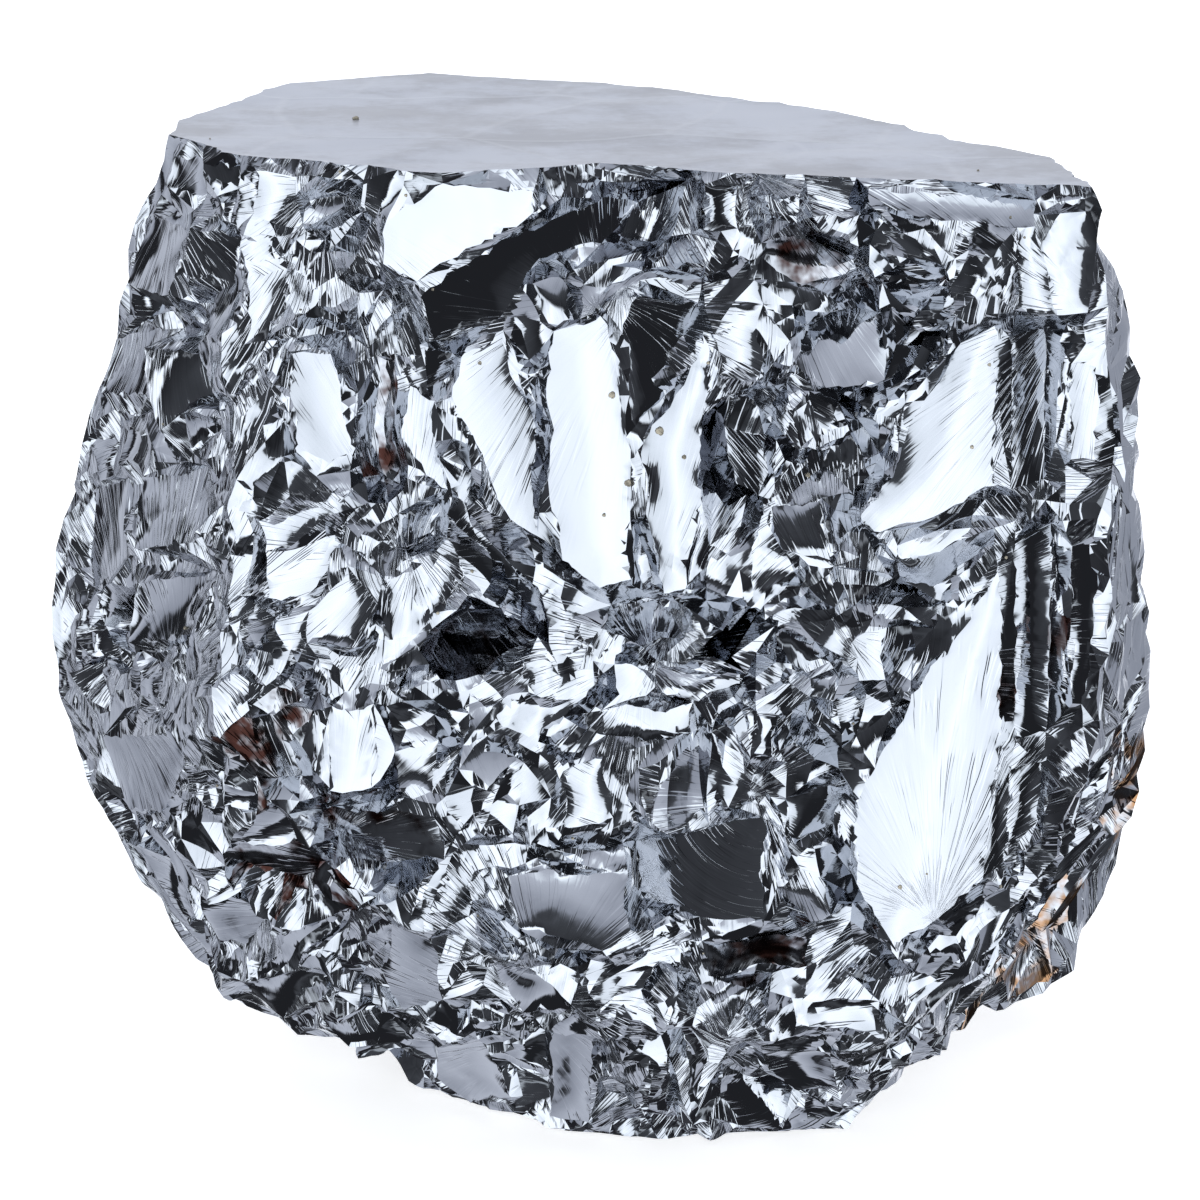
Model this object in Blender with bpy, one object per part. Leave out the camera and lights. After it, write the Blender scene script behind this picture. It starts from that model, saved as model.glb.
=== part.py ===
"""Raw silicon crystal: one broken lump, about 60 mm wide, with a flat satin top face.

The lump is one closed solid. It is laid out as nineteen sides that meet along chipped edges.
The sides that can be seen carry flat facets, ledges and hollows, each outlined by hand, with
splinters set out by rule and small shards between them. The hidden sides are broken up by rule.

Places read by eye are written in millimetres on a sight plane: a plane square to the line of
sight, which comes from SIGHT_RISE above the horizon. They are (across, up): across is measured
to the right from the middle, up from the lowest point of the lump. Depth is measured along +Y,
away from the viewer, from the upright line through the middle of the lump.
"""
import math
import random

import bmesh
import bpy
import numpy as np
from mathutils import Vector
from mathutils.geometry import delaunay_2d_cdt

# Driving dimensions in millimetres, angles in degrees
MM = 0.001
TOP_HEIGHT = 52.06
SIGHT_RISE = 14.0
EYE_DISTANCE = 270.0
PLANE_DISTANCE = 252.0
PLANE_MIDDLE_UP = 26.75
AIM_HEIGHT = 26.07
GROUND_GAP = 0.35

# Chipped edges: length of a chip, and how far its corner strays
EDGE_STEP = 1.5
EDGE_CHIP = 0.32

# Facets: gap round those read by eye, how far they may stand out or lie deep, gap to the border
FACET_INSET = 0.10
FACET_RISE_LIMIT = 1.6
FACET_DEPTH_LIMIT = 2.4
EDGE_HEADROOM = 0.25
HEADROOM_SHARE = 0.35
BORDER_MARGIN = 0.45
SHORTEST_SIDE = 0.42
SMALLEST_FACET = 0.7

# Facets set out by rule: spacing of their seeds, gaps between them, steps and leans
CELL_CORNERS = 8
SEED_SHARE = 0.72
SEED_CLEARANCE = 0.55
FACET_GAP = 0.22
CELL_GAP = 0.16
CELL_STEP = 0.6
SPLINTER_GAP = 0.05
SPLINTER_STEP = 0.25
LEAN_SPREAD = 0.17
PLATE_SINK = 0.5

# Small shards: depth of the ring inside the border, gaps as shares of the grain, how far they stray
RING_DEPTH = 0.85
FACET_CLEARANCE = 0.40
POINT_CLEARANCE = 0.62
ROW_SHARE = 0.87
SCATTER = 0.36

# Working limits: rounds, places tried along an outline's side, share kept at each drawing in
DRAW_ROUNDS = 16
DRAW_SHARE = 0.92
SIGHT_ROUNDS = 6
SEED_THROWS = 8.0
TRIES = 5
NEAR_REACH = 20.0
FLATTEN = 0.86
NEAR_GAP = 0.05
SPREAD_POWER = 2.2

# Material of fresh broken silicon
SILICON_COLOUR = (0.42, 0.44, 0.48, 1.0)
SILICON_ROUGHNESS = 0.12

# Corners that are seen: across, up, depth
SEEN = {
    "ridge_1": (-18.2, 45.2, -13.6), "ridge_2": (-18.9, 39.8, -14.5), "ridge_3": (-18.0, 32.8, -16.5),
    "ridge_4": (-18.9, 25.8, -17.0), "ridge_5": (-19.3, 22.0, -17.8), "ridge_6": (-16.9, 16.6, -19.6),
    "ridge_7": (-11.4, 11.5, -20.5), "ridge_8": (-6.0, 9.5, -21.5), "ridge_9": (0.0, 5.8, -20.5),
    "ridge_10": (1.1, 3.5, -17.5), "belly": (8.0, 4.5, -20.5),
    "left_1": (-23.0, 46.5, -3.5), "left_2": (-25.0, 37.3, -1.5), "left_3": (-27.0, 30.8, -0.5),
    "left_4": (-27.6, 25.0, 0.0), "left_5": (-26.5, 20.8, 0.5), "left_6": (-25.2, 16.8, 1.0),
    "left_7": (-23.0, 12.8, 1.0), "left_8": (-20.2, 8.9, 0.0), "left_9": (-17.8, 6.5, 0.5),
    "left_10": (-15.0, 5.3, 1.0), "left_11": (-10.8, 5.0, 0.0),
    "lens_tip": (-21.0, 14.2, -8.0), "lens_low": (-19.0, 8.2, -5.0), "lens_root": (-13.2, 7.5, -13.0),
    "edge_1": (25.6, 36.8, -20.8), "edge_2": (25.6, 26.8, -20.5), "edge_3": (24.5, 18.8, -20.5),
    "edge_4": (23.0, 13.8, -20.0), "edge_5": (18.0, 8.8, -19.5), "edge_6": (15.0, 4.7, -17.0),
    "heel": (15.2, 3.5, -12.0),
    "right_1": (25.9, 42.5, -8.0), "right_2": (26.9, 37.8, -4.0), "right_3": (26.8, 31.8, 0.0),
    "right_4": (27.4, 24.2, 6.0), "right_5": (27.1, 17.2, 10.0), "right_6": (25.4, 12.5, 12.0),
    "right_7": (24.0, 10.2, 9.0), "right_8": (23.6, 8.3, 6.0), "right_9": (18.8, 5.7, 2.0),
}

# Corners of the satin top face: across, up
TOP_RIM = (
    (-21.6, 50.0), (-18.0, 49.0), (-8.0, 48.1), (0.0, 48.6), (5.0, 48.2), (20.0, 47.6), (24.6, 47.4),
    (22.5, 48.9), (18.5, 49.6), (11.8, 51.2), (2.5, 52.4), (-8.5, 53.1), (-15.5, 52.6), (-20.5, 50.9),
)

# Corners of the resting face that are seen, across and up, and those behind them, x and y
FOOT_SEEN = (
    (-9.4, 3.6), (-7.5, 1.9), (-5.5, 1.3), (-1.5, 0.2), (2.8, -0.2), (7.2, 0.2), (12.3, 0.3),
    (13.6, 2.0), (15.0, 3.0),
)
FOOT_BEHIND = ((14.0, 9.0), (3.0, 14.0), (-7.5, 10.0))

# Corners at the back: x, y, z
BEHIND = {
    "back_left": (-24.0, 13.0, 29.0), "back_middle": (-9.0, 22.0, 27.0), "back_right": (8.0, 19.0, 26.0),
    "back_far_right": (20.0, 13.0, 24.0), "low_left": (-20.0, 11.0, 9.0), "low_middle": (-5.0, 18.0, 8.0),
    "low_right": (11.0, 17.0, 8.0),
}

# Facets read by eye: name, how far it stands out, pitch up, turn to the right, outline
FRONT_FACETS = (
    ("upper-left window", 0.3, 9, -6,
     ((-17.2, 48.6), (-15.1, 48.1), (-15.1, 47.0), (-16.5, 45.5), (-17.5, 45.8))),
    ("upper-left fan", -0.3, 44, -8,
     ((-14.8, 46.8), (-12.8, 46.9), (-11.9, 46.0), (-13.5, 45.1), (-15.0, 45.4))),
    ("left step", 0.2, 12, 4,
     ((-17.9, 45.1), (-15.8, 45.2), (-16.1, 43.8), (-17.8, 43.6))),
    ("left streak", 0.0, 7, -8,
     ((-17.8, 43.2), (-15.5, 43.5), (-15.8, 41.8), (-16.9, 39.6), (-17.8, 39.6))),
    ("crown panel", 0.6, 8, 3,
     ((-11.0, 46.0), (-8.0, 47.8), (-2.8, 47.5), (-2.8, 46.1), (-5.0, 45.1), (-7.1, 43.8),
      (-9.1, 42.5), (-10.2, 43.0), (-11.3, 43.8))),
    ("crown arc", -0.9, 6, 25,
     ((-8.9, 42.0), (-7.1, 43.4), (-5.0, 44.8), (-2.6, 45.6), (-0.1, 46.8), (1.8, 46.5),
      (0.0, 44.4), (-2.0, 43.9), (-3.1, 43.4), (-4.1, 42.2), (-5.0, 40.8), (-6.9, 40.8),
      (-8.3, 39.8))),
    ("under the arc", 0.1, 11, -4,
     ((-3.5, 42.5), (-1.5, 42.9), (-1.6, 40.9), (-3.2, 40.4))),
    ("ribbed blob", -1.2, 14, -24,
     ((0.5, 47.0), (4.4, 47.6), (4.4, 44.9), (2.2, 44.5), (0.6, 44.9))),
    ("little lens", 0.4, 8, 2,
     ((0.2, 44.1), (2.0, 44.5), (2.0, 43.8), (0.5, 43.6))),
    ("upright ribs", 0.2, 10, 18,
     ((4.8, 48.0), (7.2, 48.0), (7.0, 45.1), (6.0, 44.9), (4.8, 45.2))),
    ("upper hollow", -0.8, -6, -20,
     ((7.7, 47.0), (10.0, 47.0), (9.8, 45.5), (8.1, 45.4))),
    ("brown lens", -1.3, -10, 24,
     ((7.8, 44.6), (10.2, 44.9), (12.9, 43.6), (13.1, 42.7), (10.0, 42.5), (8.0, 43.5))),
    ("upper chip", 0.4, 9, -2,
     ((10.5, 46.1), (12.9, 46.1), (13.0, 44.4), (10.9, 45.2))),
    ("streaked band", 0.3, 38, 4,
     ((13.3, 47.4), (21.8, 46.8), (21.8, 45.2), (16.6, 45.8), (13.4, 46.5))),
    ("fingers", 0.0, 12, -20,
     ((13.6, 45.2), (15.2, 45.1), (17.0, 43.8), (15.2, 43.7))),
    ("thin brown lens", -1.0, -12, 20,
     ((13.7, 43.0), (17.1, 43.0), (17.3, 42.4), (14.2, 42.3))),
    ("upper-right column", 0.5, 9, 5,
     ((20.6, 46.2), (24.4, 46.5), (24.5, 41.0), (22.8, 40.8), (20.6, 41.0))),
    ("crescent ledge", -0.2, 52, 0,
     ((-1.0, 41.1), (0.3, 42.5), (2.0, 43.2), (4.9, 43.0), (5.2, 42.5), (2.0, 42.4), (0.2, 41.6))),
    ("centre panel left", 0.8, 8, -3,
     ((-2.5, 40.4), (0.1, 41.1), (0.6, 39.2), (1.6, 34.8), (1.6, 30.8), (1.6, 28.0), (0.0, 27.4),
      (-1.9, 28.9), (-2.6, 32.8))),
    ("centre panel right", 0.8, 9, 2,
     ((2.2, 34.8), (4.5, 38.6), (5.3, 40.0), (5.3, 36.5), (5.0, 31.8), (4.5, 27.2), (3.2, 27.2),
      (3.0, 29.0), (2.2, 31.0))),
    ("centre wedge", 0.2, 5, 22,
     ((0.9, 40.1), (2.0, 41.8), (5.0, 41.8), (4.3, 40.0), (2.4, 37.9), (1.9, 35.5), (1.4, 37.1))),
    ("centre blade", 0.1, 4, -22,
     ((1.9, 30.4), (2.6, 28.9), (2.8, 27.2), (1.9, 27.1))),
    ("fan blades", 0.5, 11, 8,
     ((-7.2, 39.1), (-5.0, 40.1), (-3.4, 35.8), (-3.1, 29.9), (-4.4, 30.9), (-6.4, 34.8),
      (-7.3, 37.2))),
    ("dark tooth", -0.3, 2, 26,
     ((-8.8, 37.5), (-7.7, 39.4), (-7.5, 38.8), (-7.9, 37.9))),
    ("dark sliver", -0.4, 0, 24,
     ((-7.9, 34.1), (-6.5, 31.6), (-5.0, 29.0), (-3.2, 26.8), (-3.0, 25.1), (-4.0, 26.9),
      (-5.7, 28.8), (-7.4, 30.8))),
    ("left of the fan", 0.2, 8, -5,
     ((-9.8, 37.5), (-8.2, 37.0), (-8.1, 34.8), (-7.8, 32.0), (-8.9, 32.9), (-9.7, 34.8))),
    ("brown strip", -0.8, -4, -24,
     ((-11.4, 39.0), (-10.3, 39.0), (-10.2, 35.8), (-10.2, 32.2), (-11.3, 32.9))),
    ("left hollow panel", 0.4, 10, 6,
     ((-15.3, 39.0), (-13.6, 39.4), (-12.7, 36.8), (-12.2, 34.4), (-14.0, 33.5), (-15.3, 34.0))),
    ("dark brow", -0.5, -8, 20,
     ((-15.5, 40.7), (-12.8, 40.8), (-12.8, 40.0), (-15.4, 39.6))),
    ("slab one", 0.5, 12, -4,
     ((-17.1, 30.9), (-13.6, 31.4), (-12.8, 30.9), (-16.8, 29.1))),
    ("slab two", 0.2, 7, 6,
     ((-16.8, 28.0), (-13.1, 30.0), (-12.7, 29.4), (-15.0, 26.9), (-16.6, 26.9))),
    ("slab three", 0.6, 9, -7,
     ((-14.6, 26.4), (-12.5, 28.4), (-11.2, 26.6), (-12.1, 24.4), (-14.4, 24.4))),
    ("slab four", 0.2, 5, 5,
     ((-10.8, 28.2), (-9.2, 28.4), (-9.2, 24.9), (-10.7, 24.9))),
    ("shell left of centre", -0.8, 6, -26,
     ((-8.2, 24.7), (-6.5, 26.2), (-4.8, 26.6), (-3.7, 25.6), (-3.0, 24.6), (-5.0, 23.9),
      (-7.4, 23.9))),
    ("below the shell", 0.4, 8, 2,
     ((-4.0, 23.6), (-2.2, 23.7), (-2.3, 21.9), (-3.9, 21.9))),
    ("centre shell", -0.3, 40, 10,
     ((0.2, 26.6), (2.1, 26.8), (4.2, 24.8), (2.0, 24.4), (0.3, 25.4))),
    ("pale ribbon", 0.2, 42, -6,
     ((2.8, 23.6), (7.5, 23.1), (7.2, 22.6), (5.0, 21.8), (2.9, 22.4))),
    ("under the ribbon", 0.3, 9, -3,
     ((0.7, 23.6), (2.2, 23.4), (2.3, 21.9), (0.8, 21.9))),
    ("brown pocket", -0.9, -8, 20,
     ((-0.2, 21.3), (4.6, 21.4), (4.7, 19.6), (0.2, 19.6))),
    ("low window", 0.4, 10, 3,
     ((-2.2, 18.6), (0.5, 18.7), (0.6, 15.7), (-1.9, 15.6))),
    ("column one", 0.5, 9, -8,
     ((2.4, 20.1), (3.6, 20.1), (3.5, 15.3), (2.4, 15.5))),
    ("column two", 0.3, 8, 8,
     ((4.2, 20.1), (5.6, 20.2), (5.5, 15.4), (4.3, 15.3))),
    ("column three", 0.3, 11, 0,
     ((7.5, 21.4), (8.8, 21.4), (8.8, 19.0), (7.6, 19.0))),
    ("great dark fan", -0.7, 2, -21,
     ((1.4, 14.1), (5.0, 15.2), (8.2, 16.2), (8.3, 10.8), (5.0, 10.7), (2.1, 11.2))),
    ("dark window", -0.3, 4, 20,
     ((9.1, 17.1), (11.9, 17.1), (11.9, 15.1), (9.2, 14.9))),
    ("great right panel", 0.9, 8, -4,
     ((12.6, 17.1), (13.8, 18.8), (15.3, 21.8), (17.4, 24.6), (20.0, 28.2), (20.1, 24.8),
      (20.0, 19.9), (19.6, 16.8), (19.2, 13.2), (17.0, 11.2), (14.3, 9.8), (12.9, 12.8))),
    ("upper right panel", 0.6, 10, -7,
     ((17.9, 39.5), (19.8, 40.6), (19.8, 37.8), (19.7, 32.7), (17.0, 31.2), (13.8, 30.2),
      (13.0, 30.9), (14.4, 33.2), (16.1, 36.6))),
    ("dark strip above", -0.7, 5, 24,
     ((20.4, 40.0), (22.3, 40.2), (22.3, 32.5), (20.4, 32.3))),
    ("dark strip middle", -0.6, 3, 23,
     ((20.6, 29.8), (22.6, 30.4), (22.6, 24.8), (22.4, 20.0), (20.6, 19.7))),
    ("dark strip below", -0.5, 0, 22,
     ((20.4, 18.2), (22.2, 18.6), (21.9, 15.4), (20.1, 13.7))),
    ("right column", 0.4, 9, 6,
     ((23.0, 39.8), (25.2, 39.8), (25.2, 36.8), (24.9, 32.5), (23.1, 32.5))),
    ("grey column", 0.1, 4, 30,
     ((23.2, 31.1), (25.2, 31.2), (25.1, 26.8), (24.8, 24.0), (24.1, 19.9), (23.2, 20.1))),
    ("pale blade", 0.3, 46, 0,
     ((12.7, 26.6), (14.0, 26.7), (17.2, 26.8), (15.0, 26.2))),
    ("dark streaks", -0.4, 16, -22,
     ((14.5, 28.4), (19.8, 30.4), (19.8, 29.4), (17.0, 27.6), (14.7, 27.4))),
    ("right shell", -0.3, 36, -12,
     ((9.9, 40.5), (13.9, 41.0), (14.3, 38.0), (11.5, 37.2), (9.7, 38.4))),
    ("shell foot", 0.4, 8, 4,
     ((9.6, 36.5), (10.8, 37.0), (10.8, 34.2), (9.7, 34.5))),
    ("arc window", 0.3, 9, -5,
     ((5.7, 40.2), (7.8, 40.5), (8.0, 37.7), (5.7, 37.7))),
    ("left brown lens", -0.7, -2, 20,
     ((-17.4, 21.1), (-16.3, 20.9), (-15.2, 18.8), (-15.2, 17.4), (-16.5, 17.4))),
    ("left tall panel", 0.5, 7, -5,
     ((-13.8, 21.6), (-11.2, 21.9), (-11.1, 17.2), (-13.4, 17.2))),
    ("left dark hollow", -0.7, -5, -22,
     ((-14.2, 16.2), (-8.2, 16.1), (-7.8, 13.7), (-10.9, 13.4), (-13.7, 15.1))),
    ("chin panel", 0.5, 6, 4,
     ((-4.6, 13.2), (1.5, 13.4), (1.6, 10.4), (0.0, 9.3), (-4.3, 10.4))),
    ("chin hollow", -0.6, -8, -18,
     ((-6.1, 11.2), (-4.6, 10.8), (-2.0, 9.2), (-2.2, 8.2), (-4.7, 9.8))),
    ("low brown band", -0.7, -10, 14,
     ((5.0, 9.8), (10.6, 9.8), (10.4, 8.2), (5.3, 7.8))),
    ("low slabs", 0.3, 2, -4,
     ((9.9, 6.8), (14.0, 6.9), (14.1, 5.3), (10.2, 5.2))),
    ("left chip", 0.3, 10, 5,
     ((-10.3, 19.2), (-8.2, 19.9), (-8.0, 17.4), (-10.1, 17.2))),
    ("middle chip", 0.4, 12, -6,
     ((-7.0, 21.5), (-5.0, 21.9), (-5.2, 19.7), (-6.8, 19.5))),
    ("rubble chip one", 0.2, 8, 6,
     ((6.2, 35.5), (8.3, 35.1), (8.1, 31.9), (6.5, 32.4))),
    ("rubble chip two", 0.3, 11, -4,
     ((8.7, 31.6), (11.3, 32.0), (11.3, 29.0), (8.9, 29.0))),
    ("rubble chip three", 0.3, 7, 3,
     ((12.5, 24.6), (14.4, 25.4), (14.2, 22.9), (12.8, 22.6))),
    ("rubble hollow", -0.6, -3, 22,
     ((-10.3, 31.4), (-8.0, 31.2), (-8.0, 29.4), (-10.1, 29.4))),
)

LEFT_UPPER_FACETS = (
    ("corner chip", 0.0, 10, -40,
     ((-21.0, 49.0), (-19.9, 48.9), (-20.1, 46.9), (-21.4, 47.4))),
    ("tooth", -0.2, 4, -22,
     ((-19.5, 48.6), (-18.4, 48.5), (-18.7, 47.2), (-19.6, 48.0))),
    ("flank one", 0.3, 30, -52,
     ((-22.4, 46.0), (-20.6, 45.5), (-21.1, 42.0), (-22.8, 42.5))),
    ("flank two", -0.4, 6, -26,
     ((-20.1, 45.6), (-18.9, 44.8), (-19.4, 42.5), (-20.3, 42.8))),
    ("flank three", 0.3, 26, -55,
     ((-23.9, 40.0), (-22.5, 40.5), (-22.1, 37.0), (-24.2, 37.0))),
    ("flank panel", 0.2, 12, -30,
     ((-21.7, 39.5), (-20.2, 39.0), (-19.6, 36.9), (-21.3, 35.2))),
    ("striated dark", -0.4, 2, -64,
     ((-25.6, 32.4), (-23.4, 32.9), (-23.6, 28.9), (-26.0, 27.2), (-26.3, 28.8))),
    ("flank four", 0.3, 28, -44,
     ((-22.3, 33.0), (-20.2, 33.4), (-19.8, 29.9), (-21.9, 29.1))),
    ("flank five", 0.2, 20, -42,
     ((-22.5, 27.6), (-20.0, 28.4), (-20.6, 25.1), (-22.4, 24.6))),
)

LEFT_LOWER_FACETS = (
    ("smooth flank", 0.4, -14, -58,
     ((-25.1, 20.4), (-20.5, 20.9), (-19.6, 19.4), (-21.7, 15.7), (-23.6, 16.1))),
    ("smooth heel", 0.1, -24, -56,
     ((-23.0, 14.6), (-21.6, 13.8), (-20.4, 10.5), (-22.1, 12.8))),
)

LENS_FACETS = (
    ("dark shell", -0.9, 8, -14,
     ((-19.7, 14.3), (-16.9, 15.2), (-13.3, 13.9), (-12.9, 12.6), (-15.0, 12.2), (-17.8, 13.2))),
    ("frosted face", 0.2, -20, -36,
     ((-20.4, 12.8), (-18.7, 12.2), (-16.0, 10.7), (-17.5, 9.3), (-19.0, 9.7))),
    ("pale ledge", 0.3, 26, -34,
     ((-15.0, 10.7), (-12.5, 11.1), (-15.0, 8.8), (-17.1, 8.4))),
    ("under ledge", -0.4, -34, -26,
     ((-17.7, 7.5), (-15.1, 8.0), (-13.9, 7.5), (-15.6, 6.2))),
)

CONCH_FACETS = (
    ("band one", 0.2, 20, -26,
     ((-10.7, 10.4), (-8.7, 9.3), (-7.2, 7.5), (-9.0, 7.2), (-11.0, 8.7))),
    ("band hollow", -0.4, -20, -14,
     ((-5.6, 8.4), (-2.4, 7.0), (-1.7, 6.0), (-4.0, 6.3))),
    ("conch left", 0.3, -24, -32,
     ((-8.1, 4.5), (-6.0, 4.7), (-4.4, 2.1), (-6.3, 2.2), (-8.0, 3.4))),
    ("conch right", 0.2, -18, -18,
     ((-2.7, 4.7), (-0.6, 4.2), (-0.2, 1.4), (-2.2, 1.6))),
)

TOE_FACETS = (
    ("toe wedge", -0.4, -22, 20,
     ((4.2, 4.8), (5.5, 3.9), (5.0, 1.9), (4.5, 1.4))),
    ("toe kite", 0.4, -34, -6,
     ((7.1, 3.1), (9.0, 1.2), (6.8, 0.9), (6.0, 1.9))),
    ("toe grey", 0.2, -40, 10,
     ((8.0, 4.0), (11.8, 3.9), (11.6, 2.8), (9.6, 2.5))),
    ("toe window", 0.3, -16, -8,
     ((2.2, 4.0), (3.4, 4.0), (3.4, 1.6), (2.4, 1.8))),
    ("toe heel", 0.0, -30, 14,
     ((10.0, 1.9), (11.6, 1.9), (11.6, 0.9), (10.2, 0.9))),
)


def names(stem, first, last):
    """stem_first ... stem_last, counting up or down."""
    step = 1 if last >= first else -1
    return [f"{stem}_{i}" for i in range(first, last + step, step)]


# Ways in which a splinter of the broken front may lean: pitch up, turn to the right
FRONT_LEANS = (
    (9, -4), (8, 5), (12, 2), (6, -9), (10, 8), (4, 23), (2, -22), (6, -25), (-4, 21), (38, 5),
    (44, -8), (-22, 4),
)
FLANK_LEANS = (
    (20, -58), (28, -46), (4, -66), (10, -40), (2, -30), (-6, -52), (34, -60), (8, -24),
)
LOW_LEANS = (
    (-28, -20), (-40, -8), (-20, -34), (-34, 12), (-12, -16), (-50, -20), (-6, 14), (6, -22),
)

# Sides: name, corners in order, facets read by eye, reach of ruled facets, their leans, grain, roughness
SIDES = (
    ("top", names("top", 1, 14), (), 0.0, (), 3.4, 0.10),
    ("front", ["top_2"] + names("ridge", 1, 9) + ["belly"] + names("edge", 6, 1) + names("top", 7, 3),
     FRONT_FACETS, 2.1, FRONT_LEANS, 1.08, 0.26),
    ("toe", ["ridge_9", "ridge_10"] + names("foot", 5, 7) + ["heel", "edge_6", "belly"],
     TOE_FACETS, 2.2, LOW_LEANS, 1.2, 0.26),
    ("conch", ["ridge_7", "lens_root", "left_10", "left_11"] + names("foot", 1, 5)
     + ["ridge_10", "ridge_9", "ridge_8"], CONCH_FACETS, 2.6, LOW_LEANS, 1.25, 0.26),
    ("lens", ["ridge_5", "lens_tip", "lens_low", "left_9", "left_10", "lens_root", "ridge_7", "ridge_6"],
     LENS_FACETS, 2.2, LOW_LEANS, 1.25, 0.24),
    ("left flank", ["top_1"] + names("left", 1, 5) + names("ridge", 5, 1) + ["top_2"],
     LEFT_UPPER_FACETS, 2.3, FLANK_LEANS, 1.2, 0.26),
    ("left heel", ["ridge_5"] + names("left", 5, 9) + ["lens_low", "lens_tip"],
     LEFT_LOWER_FACETS, 4.4, (), 1.5, 0.16),
    ("left back", ["top_14", "top_13", "back_left"] + names("left", 4, 1) + ["top_1"], (), 5.0, (), 3.0, 0.4),
    ("left low back", ["back_left", "low_left"] + names("left", 8, 4), (), 5.0, (), 3.0, 0.4),
    ("left underside", ["low_left", "foot_12", "foot_1"] + names("left", 11, 8), (), 4.4, (), 2.6, 0.35),
    ("back", names("top", 13, 11) + ["back_right", "back_middle", "back_left"], (), 6.0, (), 3.2, 0.4),
    ("low back", ["back_left", "back_middle", "back_right", "low_right", "low_middle", "low_left"],
     (), 6.0, (), 3.2, 0.4),
    ("back underside", ["low_left", "low_middle", "low_right"] + names("foot", 10, 12),
     (), 5.0, (), 2.8, 0.35),
    ("right back", names("top", 11, 8) + names("right", 1, 4) + ["back_far_right", "back_right"],
     (), 5.4, (), 3.0, 0.4),
    ("right low back", ["back_right", "back_far_right"] + names("right", 4, 6) + ["low_right"],
     (), 5.0, (), 3.0, 0.4),
    ("right strip", ["top_7"] + names("edge", 1, 3) + names("right", 4, 1) + ["top_8"],
     (), 6.4, (), 2.4, 0.12),
    ("right heel", names("edge", 3, 6) + names("right", 9, 4), (), 3.6, (), 1.9, 0.3),
    ("right underside", ["edge_6", "heel"] + names("foot", 7, 10) + ["low_right"] + names("right", 6, 9),
     (), 4.2, (), 2.2, 0.35),
    ("rest", names("foot", 1, 12), (), 0.0, (), 0.0, 0.0),
)


def sight_line(across, up):
    """The eye, and the direction from it through a place on the sight plane."""
    rise = math.radians(SIGHT_RISE)
    ahead = Vector((0.0, math.cos(rise), -math.sin(rise)))
    upward = Vector((0.0, math.sin(rise), math.cos(rise)))
    eye = Vector((0.0, 0.0, AIM_HEIGHT)) - ahead * EYE_DISTANCE
    return eye, ahead * PLANE_DISTANCE + Vector((across, 0.0, 0.0)) + upward * (up - PLANE_MIDDLE_UP)


def at_depth(across, up, depth):
    eye, ray = sight_line(across, up)
    return eye + ray * ((depth - eye.y) / ray.y)


def at_height(across, up, height):
    eye, ray = sight_line(across, up)
    return eye + ray * ((height - eye.z) / ray.z)


def all_corners():
    """Every named corner of the lump as a point in millimetres."""
    corners = {name: at_depth(*place) for name, place in SEEN.items()}
    corners.update({name: Vector(place) for name, place in BEHIND.items()})
    for i, place in enumerate(TOP_RIM, 1):
        corners[f"top_{i}"] = at_height(*place, TOP_HEIGHT)
    foot = [at_height(*place, 0.0) for place in FOOT_SEEN] + [Vector((*p, 0.0)) for p in FOOT_BEHIND]
    for i, place in enumerate(foot, 1):
        corners[f"foot_{i}"] = place
    return corners


def facing(pitch, turn):
    """Unit vector that faces the viewer, turned to the right and pitched up by so many degrees."""
    p, t = math.radians(pitch), math.radians(turn)
    return Vector((math.cos(p) * math.sin(t), -math.cos(p) * math.cos(t), math.sin(p)))


def inside(point, outline):
    """Whether a 2D point lies inside a closed outline."""
    x, y = point
    hit = False
    for (x1, y1), (x2, y2) in zip(outline, outline[1:] + outline[:1]):
        if (y1 > y) != (y2 > y) and x < x1 + (x2 - x1) * (y - y1) / (y2 - y1):
            hit = not hit
    return hit


def nearest_on(point, outline):
    """Distance from a 2D point to a closed outline, and the nearest place on it."""
    best, place = math.inf, None
    for a, b in zip(outline, outline[1:] + outline[:1]):
        along = b - a
        share = max(0.0, min(1.0, (point - a).dot(along) / along.length_squared))
        foot = a + along * share
        if (point - foot).length < best:
            best, place = (point - foot).length, foot
    return best, place


def signed_area(outline):
    return 0.5 * sum(a.x * b.y - b.x * a.y for a, b in zip(outline, outline[1:] + outline[:1]))


def shrunk(outline, by):
    """The outline with each corner drawn in by about the given distance."""
    sign = 1.0 if signed_area(outline) > 0.0 else -1.0
    result = []
    for before, here, after in zip(outline[-1:] + outline[:-1], outline, outline[1:] + outline[:1]):
        inward = Vector((0.0, 0.0))
        for a, b in ((before, here), (here, after)):
            along = (b - a).normalized()
            inward += Vector((-along.y, along.x)) * sign
        result.append(here + inward * (by / max(0.6, inward.length_squared / 2.0)))
    return result


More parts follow.
